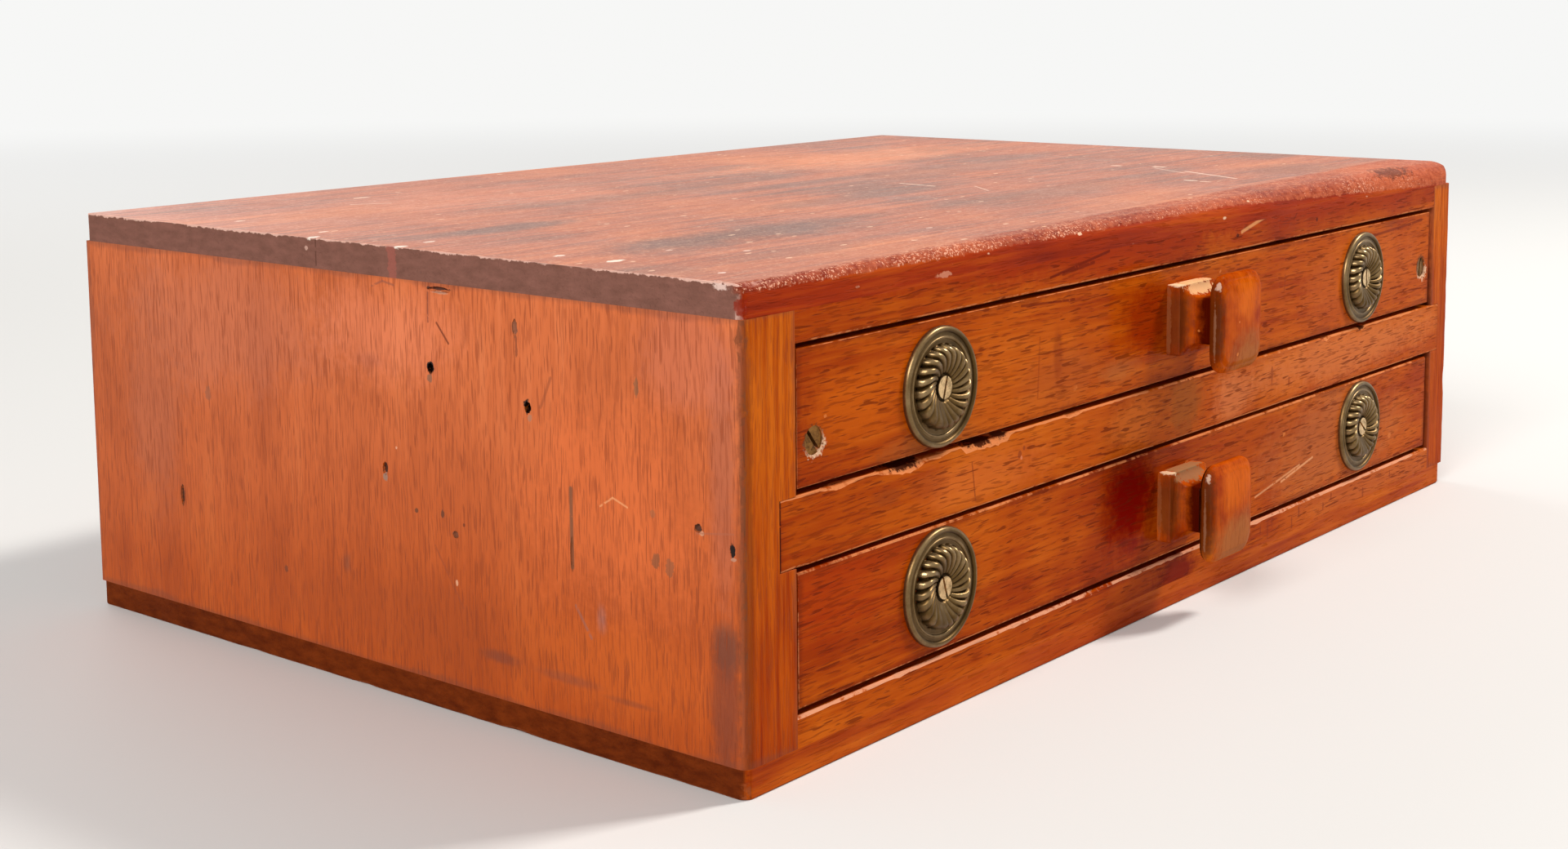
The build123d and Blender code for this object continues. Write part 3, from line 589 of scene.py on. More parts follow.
baseDents = {"stains": [
    ((left, -40, 3), (3, 70, 6), (0.075, 0.008, 0.0008), 0.6),
    ((-60, front, 3), (90, 3, 5), (0.40, 0.042, 0.001), 0.4)]}
addBoard("base_board", {**baseLook, **baseDents},
         {"x": 0.12 * mm, "y": 0.25 * mm, "z": 0.2 * mm},
         [wearOf("y", [(0, caseLo.x), (2, caseLo.z)], 8.4, bite=3.0, wobble=0.4)], ("y", -126, 126, 4),
         tight=[("z", leftLo.z)])
print("top and base boards done")

# painted shade: near-black inside the deep holes and the notch on the left side
paintedHoleShade, dustyLip = (0.010, 0.003, 0.002), (0.25, 0.115, 0.065)
sideDents = {
    "marks": [
        ((left, -24, 88.2), (14, 1.5, 1.8), paintedHoleShade, 1.0), ((left, -23.6, 85.6), (2, 1.0, 1.3), dustyLip, 0.8),
        ((left, -58.9, 82.4), (14, 1.5, 1.9), paintedHoleShade, 1.0),
        ((left, -59.6, 80.0), (2, 0.9, 1.0), (0.42, 0.20, 0.12), 0.7),
        ((left, -5.4, 60.2), (3, 1.0, 1.5), (0.055, 0.018, 0.010), 0.95),
        ((left, -5.4, 57.6), (2, 1.1, 1.2), (0.30, 0.20, 0.15), 0.8),
        ((left, -28, 108.7), (3, 4.4, 0.55), (0.07, 0.022, 0.014), 0.95),
        ((left, -28.4, 107.7), (2, 3.0, 0.4), (0.58, 0.30, 0.20), 0.7),
        ((left, -55, 101.5), (2, 0.9, 2.2), (0.20, 0.085, 0.05), 0.8),
        ((left, -55.4, 97), (1.5, 0.5, 3.2), (0.24, 0.055, 0.02), 0.7),
        ((left, 84.1, 39.7), (3, 0.8, 3.2), (0.09, 0.035, 0.02), 0.95),
        ((left, 70, 71), (2, 1.4, 2.2), (0.30, 0.10, 0.05), 0.6),
        ((left, -94.9, 91.5), (2, 0.8, 2.6), (0.26, 0.105, 0.045), 0.75),
        ((left, -17.1, 50.7), (2, 0.8, 0.8), (0.16, 0.05, 0.02), 0.9),
        ((left, -27.1, 51.2), (2, 0.7, 1.0), (0.15, 0.045, 0.02), 0.9),
        ((left, -31.8, 46.6), (2, 1.0, 1.0), (0.17, 0.06, 0.03), 0.85),
        ((left, -35, 49.5), (2, 0.5, 0.5), (0.16, 0.03, 0.01), 0.8),
        ((left, 37.4, 26.1), (2, 0.8, 1.2), (0.20, 0.05, 0.02), 0.8),
        ((left, -100.3, 51.5), (2, 1.4, 2.0), (0.25, 0.085, 0.035), 0.75),
        ((left, -104.6, 50.4), (2, 1.5, 2.4), (0.28, 0.095, 0.040), 0.7),
        ((left, -99.5, 62.5), (2, 0.9, 1.0), (0.36, 0.12, 0.050), 0.6),
        ((left, -113.5, 61.3), (3, 1.1, 1.1), (0.075, 0.03, 0.018), 0.95),
        ((left, -114.6, 60.3), (2, 0.9, 0.6), (0.66, 0.36, 0.22), 0.7),
        ((left, -123.7, 57.7), (4, 0.9, 1.8), paintedHoleShade, 1.0),
        ((left, -124.2, 55.7), (3, 1.0, 0.5), (0.50, 0.27, 0.18), 0.75),
        ((left, -31.8, 34.2), (2, 0.5, 0.9), (0.80, 0.42, 0.24), 0.8),
        ((left, -10, 66), (2, 0.5, 0.5), (0.82, 0.46, 0.30), 0.7)],
    "stains": [
        ((left, -47, 18.0), (3, 8, 1.8), (0.21, 0.055, 0.030), 0.85),
        ((left, -72, 17.4), (3, 13, 1.7), (0.23, 0.06, 0.034), 0.75),
        ((left, -91, 15.6), (3, 10, 1.0), (0.22, 0.05, 0.026), 0.7),
        ((left, -82.5, 34), (3, 2.2, 5), (0.36, 0.15, 0.12), 0.7),
        ((left, 11.4, 31.9), (3, 3.0, 4.5), (0.26, 0.075, 0.035), 0.7),
        ((left, -121.5, 34), (4, 5, 7), (0.13, 0.050, 0.032), 0.75),
        ((left, -121, 75), (4, 5, 32), (0.42, 0.115, 0.058), 0.65),
        ((left, -112, 100), (4, 18, 14), (0.60, 0.165, 0.085), 0.5),
        ((left, -121, 20), (4, 5, 16), (0.20, 0.050, 0.026), 0.7),
        ((left, 0, 88), (3, 8, 2.2), (0.40, 0.085, 0.035), 0.6),
        ((left, 60, 92), (4, 50, 22), (0.58, 0.165, 0.080), 0.5),
        ((left, 96, 62), (4, 16, 40), (0.47, 0.125, 0.055), 0.5),
        ((left, -10, 22), (4, 60, 16), (0.42, 0.075, 0.012), 0.45),
        ((left, -86, 60), (4, 34, 30), (0.84, 0.18, 0.044), 0.5),
        ((left, -85, 24), (4, 32, 14), (0.68, 0.135, 0.016), 0.5),
        ((left, -8, 96), (4, 34, 15), (0.84, 0.24, 0.11), 0.5),
        # painted shade: a dark strip on the front edge of the left side, beside its outer arris
        ((-196.5, front, 60), (2.4, 3, 70), (0.20, 0.040, 0.003), 0.6)],
    "lines": [
        ((left, -26.8, 100), (left, -31, 95.2), 0.45, (0.22, 0.04, 0.012), 0.9),
        ((left, -23.8, 107.5), (left, -23.6, 100), 0.4, (0.26, 0.06, 0.03), 0.8),
        ((left, -73, 64.5), (left, -73.1, 45.3), 0.85, (0.22, 0.080, 0.036), 0.9),
        ((left, -2.3, 107.3), (left, -6.5, 108.9), 0.4, (0.34, 0.09, 0.05), 0.7),
        ((left, -6.5, 108.9), (left, -10.9, 108.2), 0.4, (0.34, 0.09, 0.05), 0.7),
        ((left, -82.7, 61.7), (left, -86.8, 64.3), 0.35, (0.82, 0.34, 0.14), 0.8),
        ((left, -86.8, 64.3), (left, -91.5, 62.7), 0.35, (0.82, 0.34, 0.14), 0.8),
        ((left, -24, 42.5), (left, -34, 28), 0.5, (0.36, 0.07, 0.02), 0.6),
        ((left, -67, 90.5), (left, -63.4, 83), 0.6, (0.36, 0.08, 0.025), 0.65),
        ((left, -74, 36), (left, -79, 29), 0.6, (0.34, 0.13, 0.09), 0.6),
        ((left, -113, 60), (left, -124, 61.5), 0.35, (0.42, 0.12, 0.06), 0.6)],
}
sidePits = ("x", leftLo.x, [
    ((-24, 88.2), (1.1, 1.4), 4.0), ((-58.9, 82.4), (1.1, 1.5), 4.0), ((-5.4, 59.9), (1.1, 1.8), 0.7),
    ((-28, 108.4), (4.4, 0.8), 0.6), ((84.1, 39.7), (0.9, 3.2), 0.6), ((-73, 48.5), (0.6, 4.5), 0.35),
    ((-55, 101.5), (0.9, 2.2), 0.4), ((-113.5, 61.2), (1.2, 1.1), 0.6), ((-31.8, 46.6), (1.0, 1.0), 0.3)])
addBoard("left_side", {**rubbed, "seed": 0.13, **sideDents},
         {"x": 0.2 * mm, "y": 0.12 * mm, "z": 0.45 * mm},
         [wearOf("z", [(0, leftLo.x), (1, leftLo.y)], 2.2, reach=1.6 * mm, fine=2.2, pitch=6.0, wobble=0.4, bite=3.0,
                 spare=0.18, chips=[(105, 3, 1.6, 1.6), (90, 1.5, 1.4, 0.6), (57.5, 1.4, 1.8, 0.6)]),
          wearOf("z", [(0, leftLo.x), (1, leftHi.y)], 6.2, base=3.8, bite=3.0, pitch=9,
                 chips=[(13, 10, 4.0, 5.4), (34, 7, 2.4, 3.4), (60, 2.5, 3.0, 4.2)])],
         ("z", 8, 109, 2.2), pits=sidePits)
rightDents = {
    "stains": [
        # painted shade: the inner face of the right side near its front made near-black, where the gap beside the
        # drawers is in shade
        ((rightLo.x / mm, -122, 60), (1.2, 5.5, 54), (0.03, 0.004, 0.001), 0.9),
        ((right, -112, 60), (4, 14, 50), (0.47, 0.105, 0.035), 0.6),
        ((right, 40, 95), (4, 60, 16), (0.78, 0.21, 0.09), 0.5),
        ((right, 20, 20), (4, 80, 12), (0.40, 0.07, 0.012), 0.5),
        ((right, 104, 50), (4, 12, 40), (0.44, 0.11, 0.045), 0.5),
        ((right, -30, 60), (4, 16, 9), (0.36, 0.085, 0.030), 0.45),
        ((right, 66, 34), (3, 9, 3), (0.24, 0.06, 0.028), 0.6)],
    "lines": [
        ((right, -70, 86), (right, -22, 78), 0.5, (0.80, 0.32, 0.13), 0.4),
        ((right, 30, 64), (right, 52, 58), 0.5, (0.26, 0.06, 0.02), 0.7),
        ((right, -88, 40), (right, -84, 22), 0.6, (0.26, 0.06, 0.02), 0.7),
        ((right, 84, 92), (right, 96, 86), 0.4, (0.80, 0.36, 0.18), 0.6),
        ((right, -10, 30), (right, 40, 33), 0.4, (0.74, 0.26, 0.10), 0.5)],
    "marks": [
        ((right, -52, 54), (3, 1.2, 1.0), (0.10, 0.03, 0.012), 0.9),
        ((right, 18, 84), (3, 0.9, 1.6), (0.16, 0.045, 0.02), 0.85),
        ((right, 74, 62), (3, 1.6, 0.9), (0.14, 0.04, 0.018), 0.85),
        ((right, -98, 96), (3, 1.0, 1.8), (0.20, 0.06, 0.03), 0.8),
        ((right, -121, 44), (3, 1.2, 2.2), (0.15, 0.045, 0.02), 0.85),
        ((right, 100, 26), (3, 2.0, 1.2), (0.18, 0.05, 0.025), 0.8)],
}
addBoard("right_side", {**rubbed, "seed": 0.57, **rightDents},
         {"x": 0.2 * mm, "y": 0.12 * mm, "z": 0.4 * mm},
         [wearOf("z", [(0, rightHi.x), (1, rightLo.y)], 4.2, reach=1.4 * mm, fine=2.6, base=2.4, wobble=0.3,
                 bite=1.5)],
         ("z", 8, 109, 3), pits=("x", rightHi.x, [((-52, 54), (1.2, 1.0), 0.6), ((74, 62), (1.6, 0.9), 0.5)]))
backDents = {
    "stains": [
        ((-120, back, 80), (50, 4, 22), (0.40, 0.09, 0.028), 0.5),
        ((70, back, 40), (90, 4, 20), (0.30, 0.045, 0.008), 0.45),
        ((150, back, 90), (30, 4, 18), (0.62, 0.16, 0.06), 0.5),
        ((-20, back, 100), (70, 4, 9), (0.34, 0.07, 0.02), 0.4)],
    "lines": [
        ((-150, back, 60), (-96, back, 48), 0.5, (0.76, 0.30, 0.12), 0.6),
        ((20, back, 84), (66, back, 90), 0.5, (0.16, 0.03, 0.01), 0.7),
        ((96, back, 30), (150, back, 36), 0.45, (0.72, 0.28, 0.11), 0.5),
        ((-40, back, 26), (-34, back, 44), 0.5, (0.18, 0.03, 0.01), 0.6)],
    "marks": [
        ((-60, back, 70), (2.2, 3, 1.4), (0.14, 0.03, 0.01), 0.85),
        ((118, back, 72), (1.4, 3, 1.4), (0.12, 0.03, 0.01), 0.85),
        ((10, back, 20), (3.0, 3, 1.2), (0.66, 0.28, 0.13), 0.7),
        ((-160, back, 22), (1.6, 3, 1.6), (0.14, 0.03, 0.01), 0.8)],
}
backLook = {**rubbed,    # the back: darker, with a wilder figure
    "grain": "x", "sheen": "y", "seed": 0.91, "frontTone": 0.0, "figure": (26, 8, 8), "wander": 0.010,
    "stops": [(0.0, (0.28, 0.045, 0.010)), (0.4, (0.40, 0.078, 0.016)), (0.65, (0.50, 0.105, 0.024)),
              (1.0, (0.60, 0.150, 0.042))],
}
addBoard("back_panel", {**backLook, **backDents}, {"x": 0.25 * mm, "z": 0.2 * mm})
topRail = {**polish, "seed": 0.31, "tone": 0.47, "grime": 0.0,
    "stains": [
        ((-30, front, 108), (85, 4, 7), (0.32, 0.020, 0.0005), 0.65),
        ((0, front, 111.5), (240, 4, 4.5), (0.33, 0.026, 0.0006), 0.85),
        ((125, front, 109), (75, 4, 6), (0.30, 0.022, 0.0006), 0.7)],
    "lines": [
        ((36, front, 107.4), (68, front, 114.3), 0.8, (0.80, 0.36, 0.13), 0.65),
        ((48, front, 110.8), (62, front, 113.2), 0.7, (0.80, 0.36, 0.13), 0.6),
        ((71, front, 108), (74, front, 110.6), 0.4, (0.14, 0.012, 0.002), 0.7),
        ((-72, front, 105.4), (-42, front, 109.5), 0.6, (0.13, 0.008, 0.0006), 0.8),
        ((-66, front, 105.8), (-50, front, 107.2), 0.7, (0.13, 0.008, 0.0006), 0.7)],
    "marks": [
        ((33.4, front, 106.6), (0.9, 3, 0.7), (0.06, 0.006, 0.001), 0.85),
        ((87.7, front, 106.5), (0.8, 3, 0.9), (0.08, 0.006, 0.001), 0.85)],
}
addBoard("top_rail", topRail, {"x": 0.6 * mm},
         [wearOf("x", [(1, topLo.y), (2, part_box("top_rail")[0].z)], 1.7, bite=1.2, wobble=0.3)], ("x", -179, 182, 4),
         tight=[("z", topLo.z)])
dividerEnd, dividerFoot, dividerTop = dividerLo.x / mm, dividerLo.z / mm, dividerHi.z / mm
dividerRail = {**polish, "seed": 0.43, "tone": 0.60, "grime": 0.15, "bareRange": (0.30, 0.50),
    "marks": [
        # painted shade: dark brown inside the deep chips along the top arris
        ((-137, front + 2.9, dividerTop - 1.2), (11, 2.7, 2.2), (0.045, 0.006, 0.002), 0.95),
        ((-104, front + 2.9, dividerTop - 1.4), (9, 2.7, 2.4), (0.045, 0.006, 0.002), 0.95),
        ((-94, front + 2.5, dividerTop - 1.0), (3.4, 2.2, 1.6), (0.10, 0.03, 0.015), 0.9),
        ((123.7, front, dividerTop - 0.3), (2.6, 3, 1.2), (0.06, 0.008, 0.002), 0.9),
        ((-86.6, front, 60.2), (1.0, 3, 1.3), (0.24, 0.04, 0.010), 0.7),
        ((-85.6, front, 59.2), (0.7, 3, 0.7), (0.70, 0.25, 0.12), 0.6),
        ((-84.4, front, 61.6), (0.6, 3, 0.6), (0.24, 0.04, 0.010), 0.7),
        ((58, front, 60), (1.0, 3, 3.2), (0.28, 0.05, 0.012), 0.6),
        ((70, front, 56), (0.9, 3, 2.0), (0.26, 0.04, 0.01), 0.6)],
    "stains": [
        ((-100, front, 58), (34, 4, 8), (0.62, 0.135, 0.022), 0.5),
        ((-128, front, 60), (9, 4, 4), (0.34, 0.05, 0.006), 0.5),
        # painted shadow of the upper pull: the dark brown patch below it
        ((2, front, 59), (13, 4, 12), (0.25, 0.070, 0.010), 0.72),
        ((-30, front, 59), (16, 4, 9), (0.72, 0.155, 0.012), 0.75),
        ((34, front, 57), (17, 4, 9), (0.66, 0.185, 0.055), 0.65),
        ((-145, front, 60), (8, 4, 3), (0.28, 0.045, 0.006), 0.6),
        ((110, front, 60), (80, 4, 10), (0.62, 0.165, 0.040), 0.7)],
    "lines": [
        ((dividerEnd, front, dividerFoot), (dividerEnd, front, dividerTop), 0.75, (0.035, 0.005, 0.001), 0.9),
        ((-108.5, front, 62), (-107, front, 52), 0.4, (0.25, 0.04, 0.008), 0.7)],
}
addBoard("divider_rail", dividerRail, {"x": 0.5 * mm},
         [wearOf("x", [(1, topLo.y), (2, dividerHi.z)], 9.6, reach=1.2 * mm, fine=2.0, pitch=8, wobble=0.5, bite=2.4,
                 chips=[(-163, 7, 2, 1.0), (-138, 11, 8, 3.3), (-125, 4, 2.5, 1.1), (-104, 9, 10, 3.9),
                        (-94.5, 3.4, 6, 2.4), (-60, 4, 2, 1.0), (96, 3, 3, 1.5), (124, 2.4, 4, 1.6)]),
          wearOf("x", [(1, topLo.y), (2, dividerLo.z)], 7.7, bite=1.0, wobble=0.3)], ("x", -185, 188, 1.6))
ticks = [(40, 8, 3), (52, 11, 2), (57, 10, 3.4), (60, 12, 1.8), (74, 9, 2.6), (79, 12, 2.2), (97, 10, 1.5),
         (103, 12.5, 1.4), (128, 9, 2.2), (150, 11, 1.6)]
bottomRail = {**polish, "seed": 0.77, "tone": 0.52, "grime": 0.0, "bareRange": (0.24, 0.46),
    "bareColour": (0.80, 0.38, 0.22),
    "marks": [((px, front, pz), (0.6, 3, tall), (0.22, 0.03, 0.006), 0.6) for px, pz, tall in ticks],
    "stains": [
        ((130, front, 11), (60, 4, 7), (0.52, 0.12, 0.025), 0.5),
        # painted shadow: the dark red patch under the lower pull
        ((-3, front, 9), (14, 4, 10), (0.16, 0.003, 0.0003), 0.88)],
}
addBoard("bottom_rail", bottomRail, {"x": 0.7 * mm},
         [wearOf("x", [(1, topLo.y), (2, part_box("bottom_rail")[1].z)], 2.9, bite=1.6, wobble=0.4, pitch=9)],
         ("x", -179, 182, 3), tight=[("z", leftLo.z)])
print("case boards done")

for node in ("upper_kicker", "upper_runner", "lower_runner", "upper_stop", "lower_stop"):
    for hand in ("left", "right"):
        grainWay = "x" if "stop" in node else "y"
        addBoard(f"{node}_{hand}",
                 {**plainWood, "grain": grainWay, "seed": 0.2 + 0.11 * len(bpy.data.meshes) % 1},
                 {grainWay: 0.25 * mm})

screwLo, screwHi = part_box("upper_end_screws")
splinters = []             # pale and dark mouths of the two screw holes
for corner, inward in ((screwLo, 3.5), (screwHi, -3.5)):
    cx, cz = corner.x / mm + inward, corner.z / mm + inward
    splinters += [((cx + 0.4, front, cz - 0.8), (4.15, 3, 3.85), (0.80, 0.54, 0.35), 0.85),
                  ((cx - 0.3, front, cz + 0.4), (4.1, 3, 3.9), (0.15, 0.035, 0.008), 0.95)]
drawerLooks = {
    "upper": {**polish, "seed": 0.05, "tone": 0.58, "marks": splinters, "stains": [
            # painted shadow and reflection of the pull: the dark red patch to its left
            ((-21, front, 88), (16, 4, 12), (0.24, 0.010, 0.0005), 0.75),
            ((-128, front, 69), (26, 4, 6), (0.34, 0.10, 0.020), 0.5),
            ((-160, front, 84), (22, 4, 10), (0.58, 0.105, 0.002), 0.6),
            ((-64, front, 77), (30, 4, 9), (0.44, 0.10, 0.014), 0.4),
            ((-68, front, 84), (2.5, 4, 8), (0.26, 0.035, 0.003), 0.5),
            ((-36, front, 75), (14, 4, 5), (0.40, 0.12, 0.025), 0.5),
            ((130, front, 84), (56, 4, 16), (0.56, 0.115, 0.014), 0.5)],
        "lines": [
            ((-86, front, 99.5), (-60, front, 98.2), 0.5, (0.14, 0.01, 0.001), 0.7),
            ((120, front, 96.5), (172, front, 98.8), 0.7, (0.16, 0.014, 0.001), 0.7),
            ((65.8, front, 91), (65.4, front, 86), 0.4, (0.24, 0.03, 0.004), 0.7),
            ((-77, front, 90), (-78, front, 74), 0.5, (0.26, 0.035, 0.004), 0.5)]},
    "lower": {**polish, "seed": 0.66, "tone": 0.49, "stains": [
            ((-168, front, 42), (34, 4, 14), (0.40, 0.032, 0.0005), 0.5),
            ((105, front, 32), (60, 4, 22), (0.50, 0.14, 0.035), 0.55),
            # painted shadow and reflection: the deep red patch left of the lower pull
            ((-29.5, front, 37), (18, 4, 17), (0.17, 0.001, 0.0002), 0.97)],
        "lines": [
            ((65.8, front, 24.2), (88.2, front, 28.2), 0.55, (0.80, 0.36, 0.16), 0.75),
            ((48, front, 22.6), (78.7, front, 27.4), 0.5, (0.78, 0.36, 0.16), 0.6)]},
}

pigments = {"count": 14, "draws": {"upper": 9, "lower": 14}, "depth": (0.2, 0.45), "colours": [
    (0.10, 0.13, 0.22), (0.42, 0.22, 0.045), (0.11, 0.13, 0.045), (0.28, 0.055, 0.05), (0.13, 0.06, 0.035),
    (0.20, 0.21, 0.22)]}


def pigmentStains(drawer):     # old colour soaked into the floors of the wells
    lo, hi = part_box(drawer + "_drawer_bottom")
    draw = random.Random(pigments["draws"][drawer])
    colours = pigments["colours"]
    return [((draw.uniform(lo.x, hi.x) / mm, draw.uniform(lo.y, hi.y) / mm, hi.z / mm),
             (draw.uniform(6, 20), draw.uniform(5, 14), 2), colours[i % len(colours)],
             draw.uniform(*pigments["depth"])) for i in range(pigments["count"])]


for drawer, seed in (("upper", 0.05), ("lower", 0.66)):
    addBoard(drawer + "_drawer_front", drawerLooks[drawer], {"x": 0.5 * mm, "z": 0.4 * mm}, (), ("x", -178, 177, 6))
    addBoard(drawer + "_drawer_back", {**plainWood, "seed": seed + 0.1}, {"x": 0.3 * mm})
    addBoard(drawer + "_drawer_bottom", {**plainWood, "seed": seed + 0.2, "stains": pigmentStains(drawer)},
             {"x": 0.15 * mm})
    for hand, later in (("left", 0.3), ("right", 0.4)):
        addBoard(f"{drawer}_drawer_side_{hand}", {**plainWood, "grain": "y", "seed": seed + later}, {"y": 0.3 * mm})
    addBoard(drawer + "_tray_partition", {**plainWood, "seed": seed + 0.5}, {"x": 0.4 * mm})
    crosses = sorted(node for node in bodyOf if node.startswith(drawer + "_cross_partition"))
    for i, node in enumerate(crosses):
        addBoard(node, {**plainWood, "grain": "y", "seed": seed + 0.07 * i}, {"y": 0.4 * mm})
addBoard("upper_pan_partition", {**plainWood, "seed": 0.88}, {"x": 0.4 * mm})
print("drawer boards done")


# Pulls: a square stem with a cove on all four sides, and a cushion-shaped head.

pullSizes = {"base": (21.0, 20.5), "baseThick": 4.4, "neck": 13.4, "neckFrom": 8.8, "neckTo": 11.0, "flare": 19.0,
             "head": (27.2, 28.3), "headBack": 15.0, "headFront": 19.55, "headCorner": 6.0, "arris": 0.8}


def squareRing(halfWide, halfHigh, corner, perCorner=7, perSide=4):
    ring = []
    for turn, (sx, sz) in enumerate(((1, 1), (-1, 1), (-1, -1), (1, -1))):
        for i in range(perCorner):
            angle = math.pi / 2 * (turn + i / (perCorner - 1))
            ring.append(Vector((sx * (halfWide - corner) + corner * math.cos(angle), 0,
                                sz * (halfHigh - corner) + corner * math.sin(angle))))
        start = ring[-1]
        nx, nz = ((-1, 1), (-1, -1), (1, -1), (1, 1))[turn]
        angle = math.pi / 2 * (turn + 1)
        end = Vector((nx * (halfWide - corner) + corner * math.cos(angle), 0,
                      nz * (halfHigh - corner) + corner * math.sin(angle)))
        ring += [start.lerp(end, (i + 1) / (perSide + 1)) for i in range(perSide)]
    return ring


def pullStations(s):
    rows = []            # out from the drawer front, half width, half height, corner
    for out, trim in ((0, 0), (0.15, 0), (s["baseThick"] - 0.5, 0), (s["baseThick"], 0.12)):
        rows.append((out, s["base"][0] / 2 - trim, s["base"][1] / 2 - trim, s["arris"]))
    cove = s["neckFrom"] - s["baseThick"]
    for i in range(1, 9):
        angle = math.pi / 2 * i / 8
        share = 1 - math.sin(angle)       # quarter-hollow from the base in to the neck
        wide, high = [s["neck"] / 2 + (half / 2 - s["neck"] / 2) * share for half in s["base"]]
        rows.append((s["baseThick"] + cove * (1 - math.cos(angle)), wide, high, s["arris"]))
    rows.append((s["neckTo"], s["neck"] / 2, s["neck"] / 2, s["arris"]))
    flare = s["headBack"] - s["neckTo"]
    for i in range(1, 7):
        angle = math.pi / 2 * i / 6
        half = s["neck"] / 2 + (s["flare"] - s["neck"]) / 2 * (1 - math.cos(angle))
        rows.append((s["neckTo"] + flare * math.sin(angle), half, half, s["arris"] + 0.2 * i))
    wide, high = s["head"][0] / 2, s["head"][1] / 2
    rear, face, corner = s["headBack"], s["headFront"], s["headCorner"]
    for out, trim in ((0, 1.0), (0.35, 0.3), (0.9, 0), (1.7, 0)):
        rows.append((rear + out, wide - trim, high - trim, corner - trim))
    for i in range(1, 8):                 # rounded shoulder
        angle = math.pi / 2 * i / 8
        inset = 2.2 * (1 - math.cos(angle))
        rows.append((rear + 1.7 + 1.5 * math.sin(angle), wide - inset, high - inset, corner - inset * 0.6))
    shoulder = rear + 3.2
    for share in (0.78, 0.66, 0.52, 0.38, 0.24, 0.10, 0.02):     # cushion face
        rise = (face - shoulder) * (1 - share ** 2.2)
        rows.append((shoulder + rise, wide * share, high * share, corner * share * 0.9))
    return rows


def addPull(node, seed, stemTopPaintedLight):
    name = camelName(node)
    lo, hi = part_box(node)
    centre = Vector(((lo.x + hi.x) / 2, hi.y, (lo.z + hi.z) / 2))
    rows = pullStations(pullSizes)
    bm = bmesh.new()
    ring = [bm.verts.new(p * mm) for p in squareRing(*rows[0][1:])]
    face = bm.faces.new(ring)
    for out, halfWide, halfHigh, corner in rows:
        if out > 0:
            made = bmesh.ops.extrude_face_region(bm, geom=[face])["geom"]
            face = [f for f in made if isinstance(f, bmesh.types.BMFace)][0]
        for vert, p in zip(face.verts, squareRing(halfWide, halfHigh, corner)):
            vert.co = Vector((p.x, -out, p.z)) * mm
    for vert in bm.verts:                 # hands have softened it unevenly
        soft = noise.noise(vert.co * 160 + Vector((seed, 0, 0))) * 0.12 * mm
        vert.co.x += soft * (1 if vert.co.x < 0 else -1) * (vert.co.y < -3 * mm)
    bmesh.ops.translate(bm, verts=bm.verts, vec=centre)
    bmesh.ops.remove_doubles(bm, verts=bm.verts, dist=0.001 * mm)
    bmesh.ops.recalc_face_normals(bm, faces=bm.faces)
    markSharp(bm, 50)
    look = pullWearAndPaintedLight(centre, seed, stemTopPaintedLight)
    addPiece(name, bm, [node], woodFinish(name + "Wood", look, lo, hi))


handled = {**polish,     # rubbed through to orange on the face; the shade in its hollows and its highlights are painted on, pull by pull, further down
    "slot": "handled_mahogany", "grain": "z", "ribbon": (14, 130, 130), "streak": (60, 900, 900), "cloud": 85,
    "shares": (0.6, 0.4, 1.3, 0.2), "tone": 0.5,
    "stops": [(0.0, (0.17, 0.011, 0.0005)), (0.35, (0.33, 0.033, 0.001)), (0.62, (0.50, 0.078, 0.003)),
              (1.0, (0.66, 0.155, 0.013))],
    "poreDepth": 0.3, "bare": 0.0, "specks": 0.08, "speckGrid": (260, 260, 260), "grime": 0.0,
    "roughness": 0.30, "coat": 0.13, "coatRoughness": 0.10, "specular": 0.0, "waves": (110, 110, 110),
    "waveDepth": 0.22 * mm, "relief": 0.03 * mm,
}


def pullWearAndPaintedLight(centre, seed, stemTopPaintedLight):     # stains and marks set round the middle of one pull, on the drawer front: real wear with painted shade, painted highlights and a painted reflection
    cx, cy, cz = centre / mm
    return {**handled, "seed": seed, "stains": [
        # painted shade: near-black round the neck, under the head
        ((cx, cy - 11.5, cz), (34, 4.4, 34), (0.060, 0.002, 0.0003), 0.97),
        # painted shade: the base's left side, turned away from the light, darkened
        ((cx - 10.5, cy - 3, cz), (5, 5, 13), (0.15, 0.030, 0.006), 0.85),
        ((cx - 14.5, cy - 17, cz), (5.0, 7, 20), (0.10, 0.020, 0.002), 0.9),
        # painted reflection: the lower right of the head paler beige-brown, where the floor is reflected
        ((cx + 4, cy - 20, cz - 11), (15, 7, 11), (0.40, 0.125, 0.030), 0.85),
        ((cx + 3, cy - 20, cz + 7), (10, 7, 8), (0.66, 0.12, 0.003), 0.65)],
        # painted light on the stem's top, in the colour given for each pull
        "marks": [((cx, cy - 2.5, cz + 10.6), (12, 4, 1.1), stemTopPaintedLight, 0.8),
                  ((cx, cy - 6, cz + 8.9), (9, 5.5, 2.1), stemTopPaintedLight, 0.75),
                  # painted highlight: a cream spot at the stem top's left corner
                  ((cx - 9, cy - 2.5, cz + 10.6), (2.4, 3, 1.2), (0.86, 0.58, 0.36), 0.8),
                  # painted highlights, partly worn wood: pale lines on the base's left arris, the head's top-left
                  # corner and left edge, and the head's right edge
                  ((cx - 10.4, cy - 0.6, cz), (0.8, 1.0, 12), (0.40, 0.15, 0.06), 0.25),
                  ((cx - 12.7, cy - 17.8, cz + 12), (1.3, 1.3, 2.4), (0.84, 0.55, 0.40), 0.6),
                  ((cx - 13.4, cy - 17.0, cz - 2), (0.6, 0.4, 11), (0.40, 0.20, 0.11), 0.35),
                  ((cx + 13.2, cy - 17.5, cz), (0.8, 1.4, 12), (0.80, 0.34, 0.13), 0.4)]}


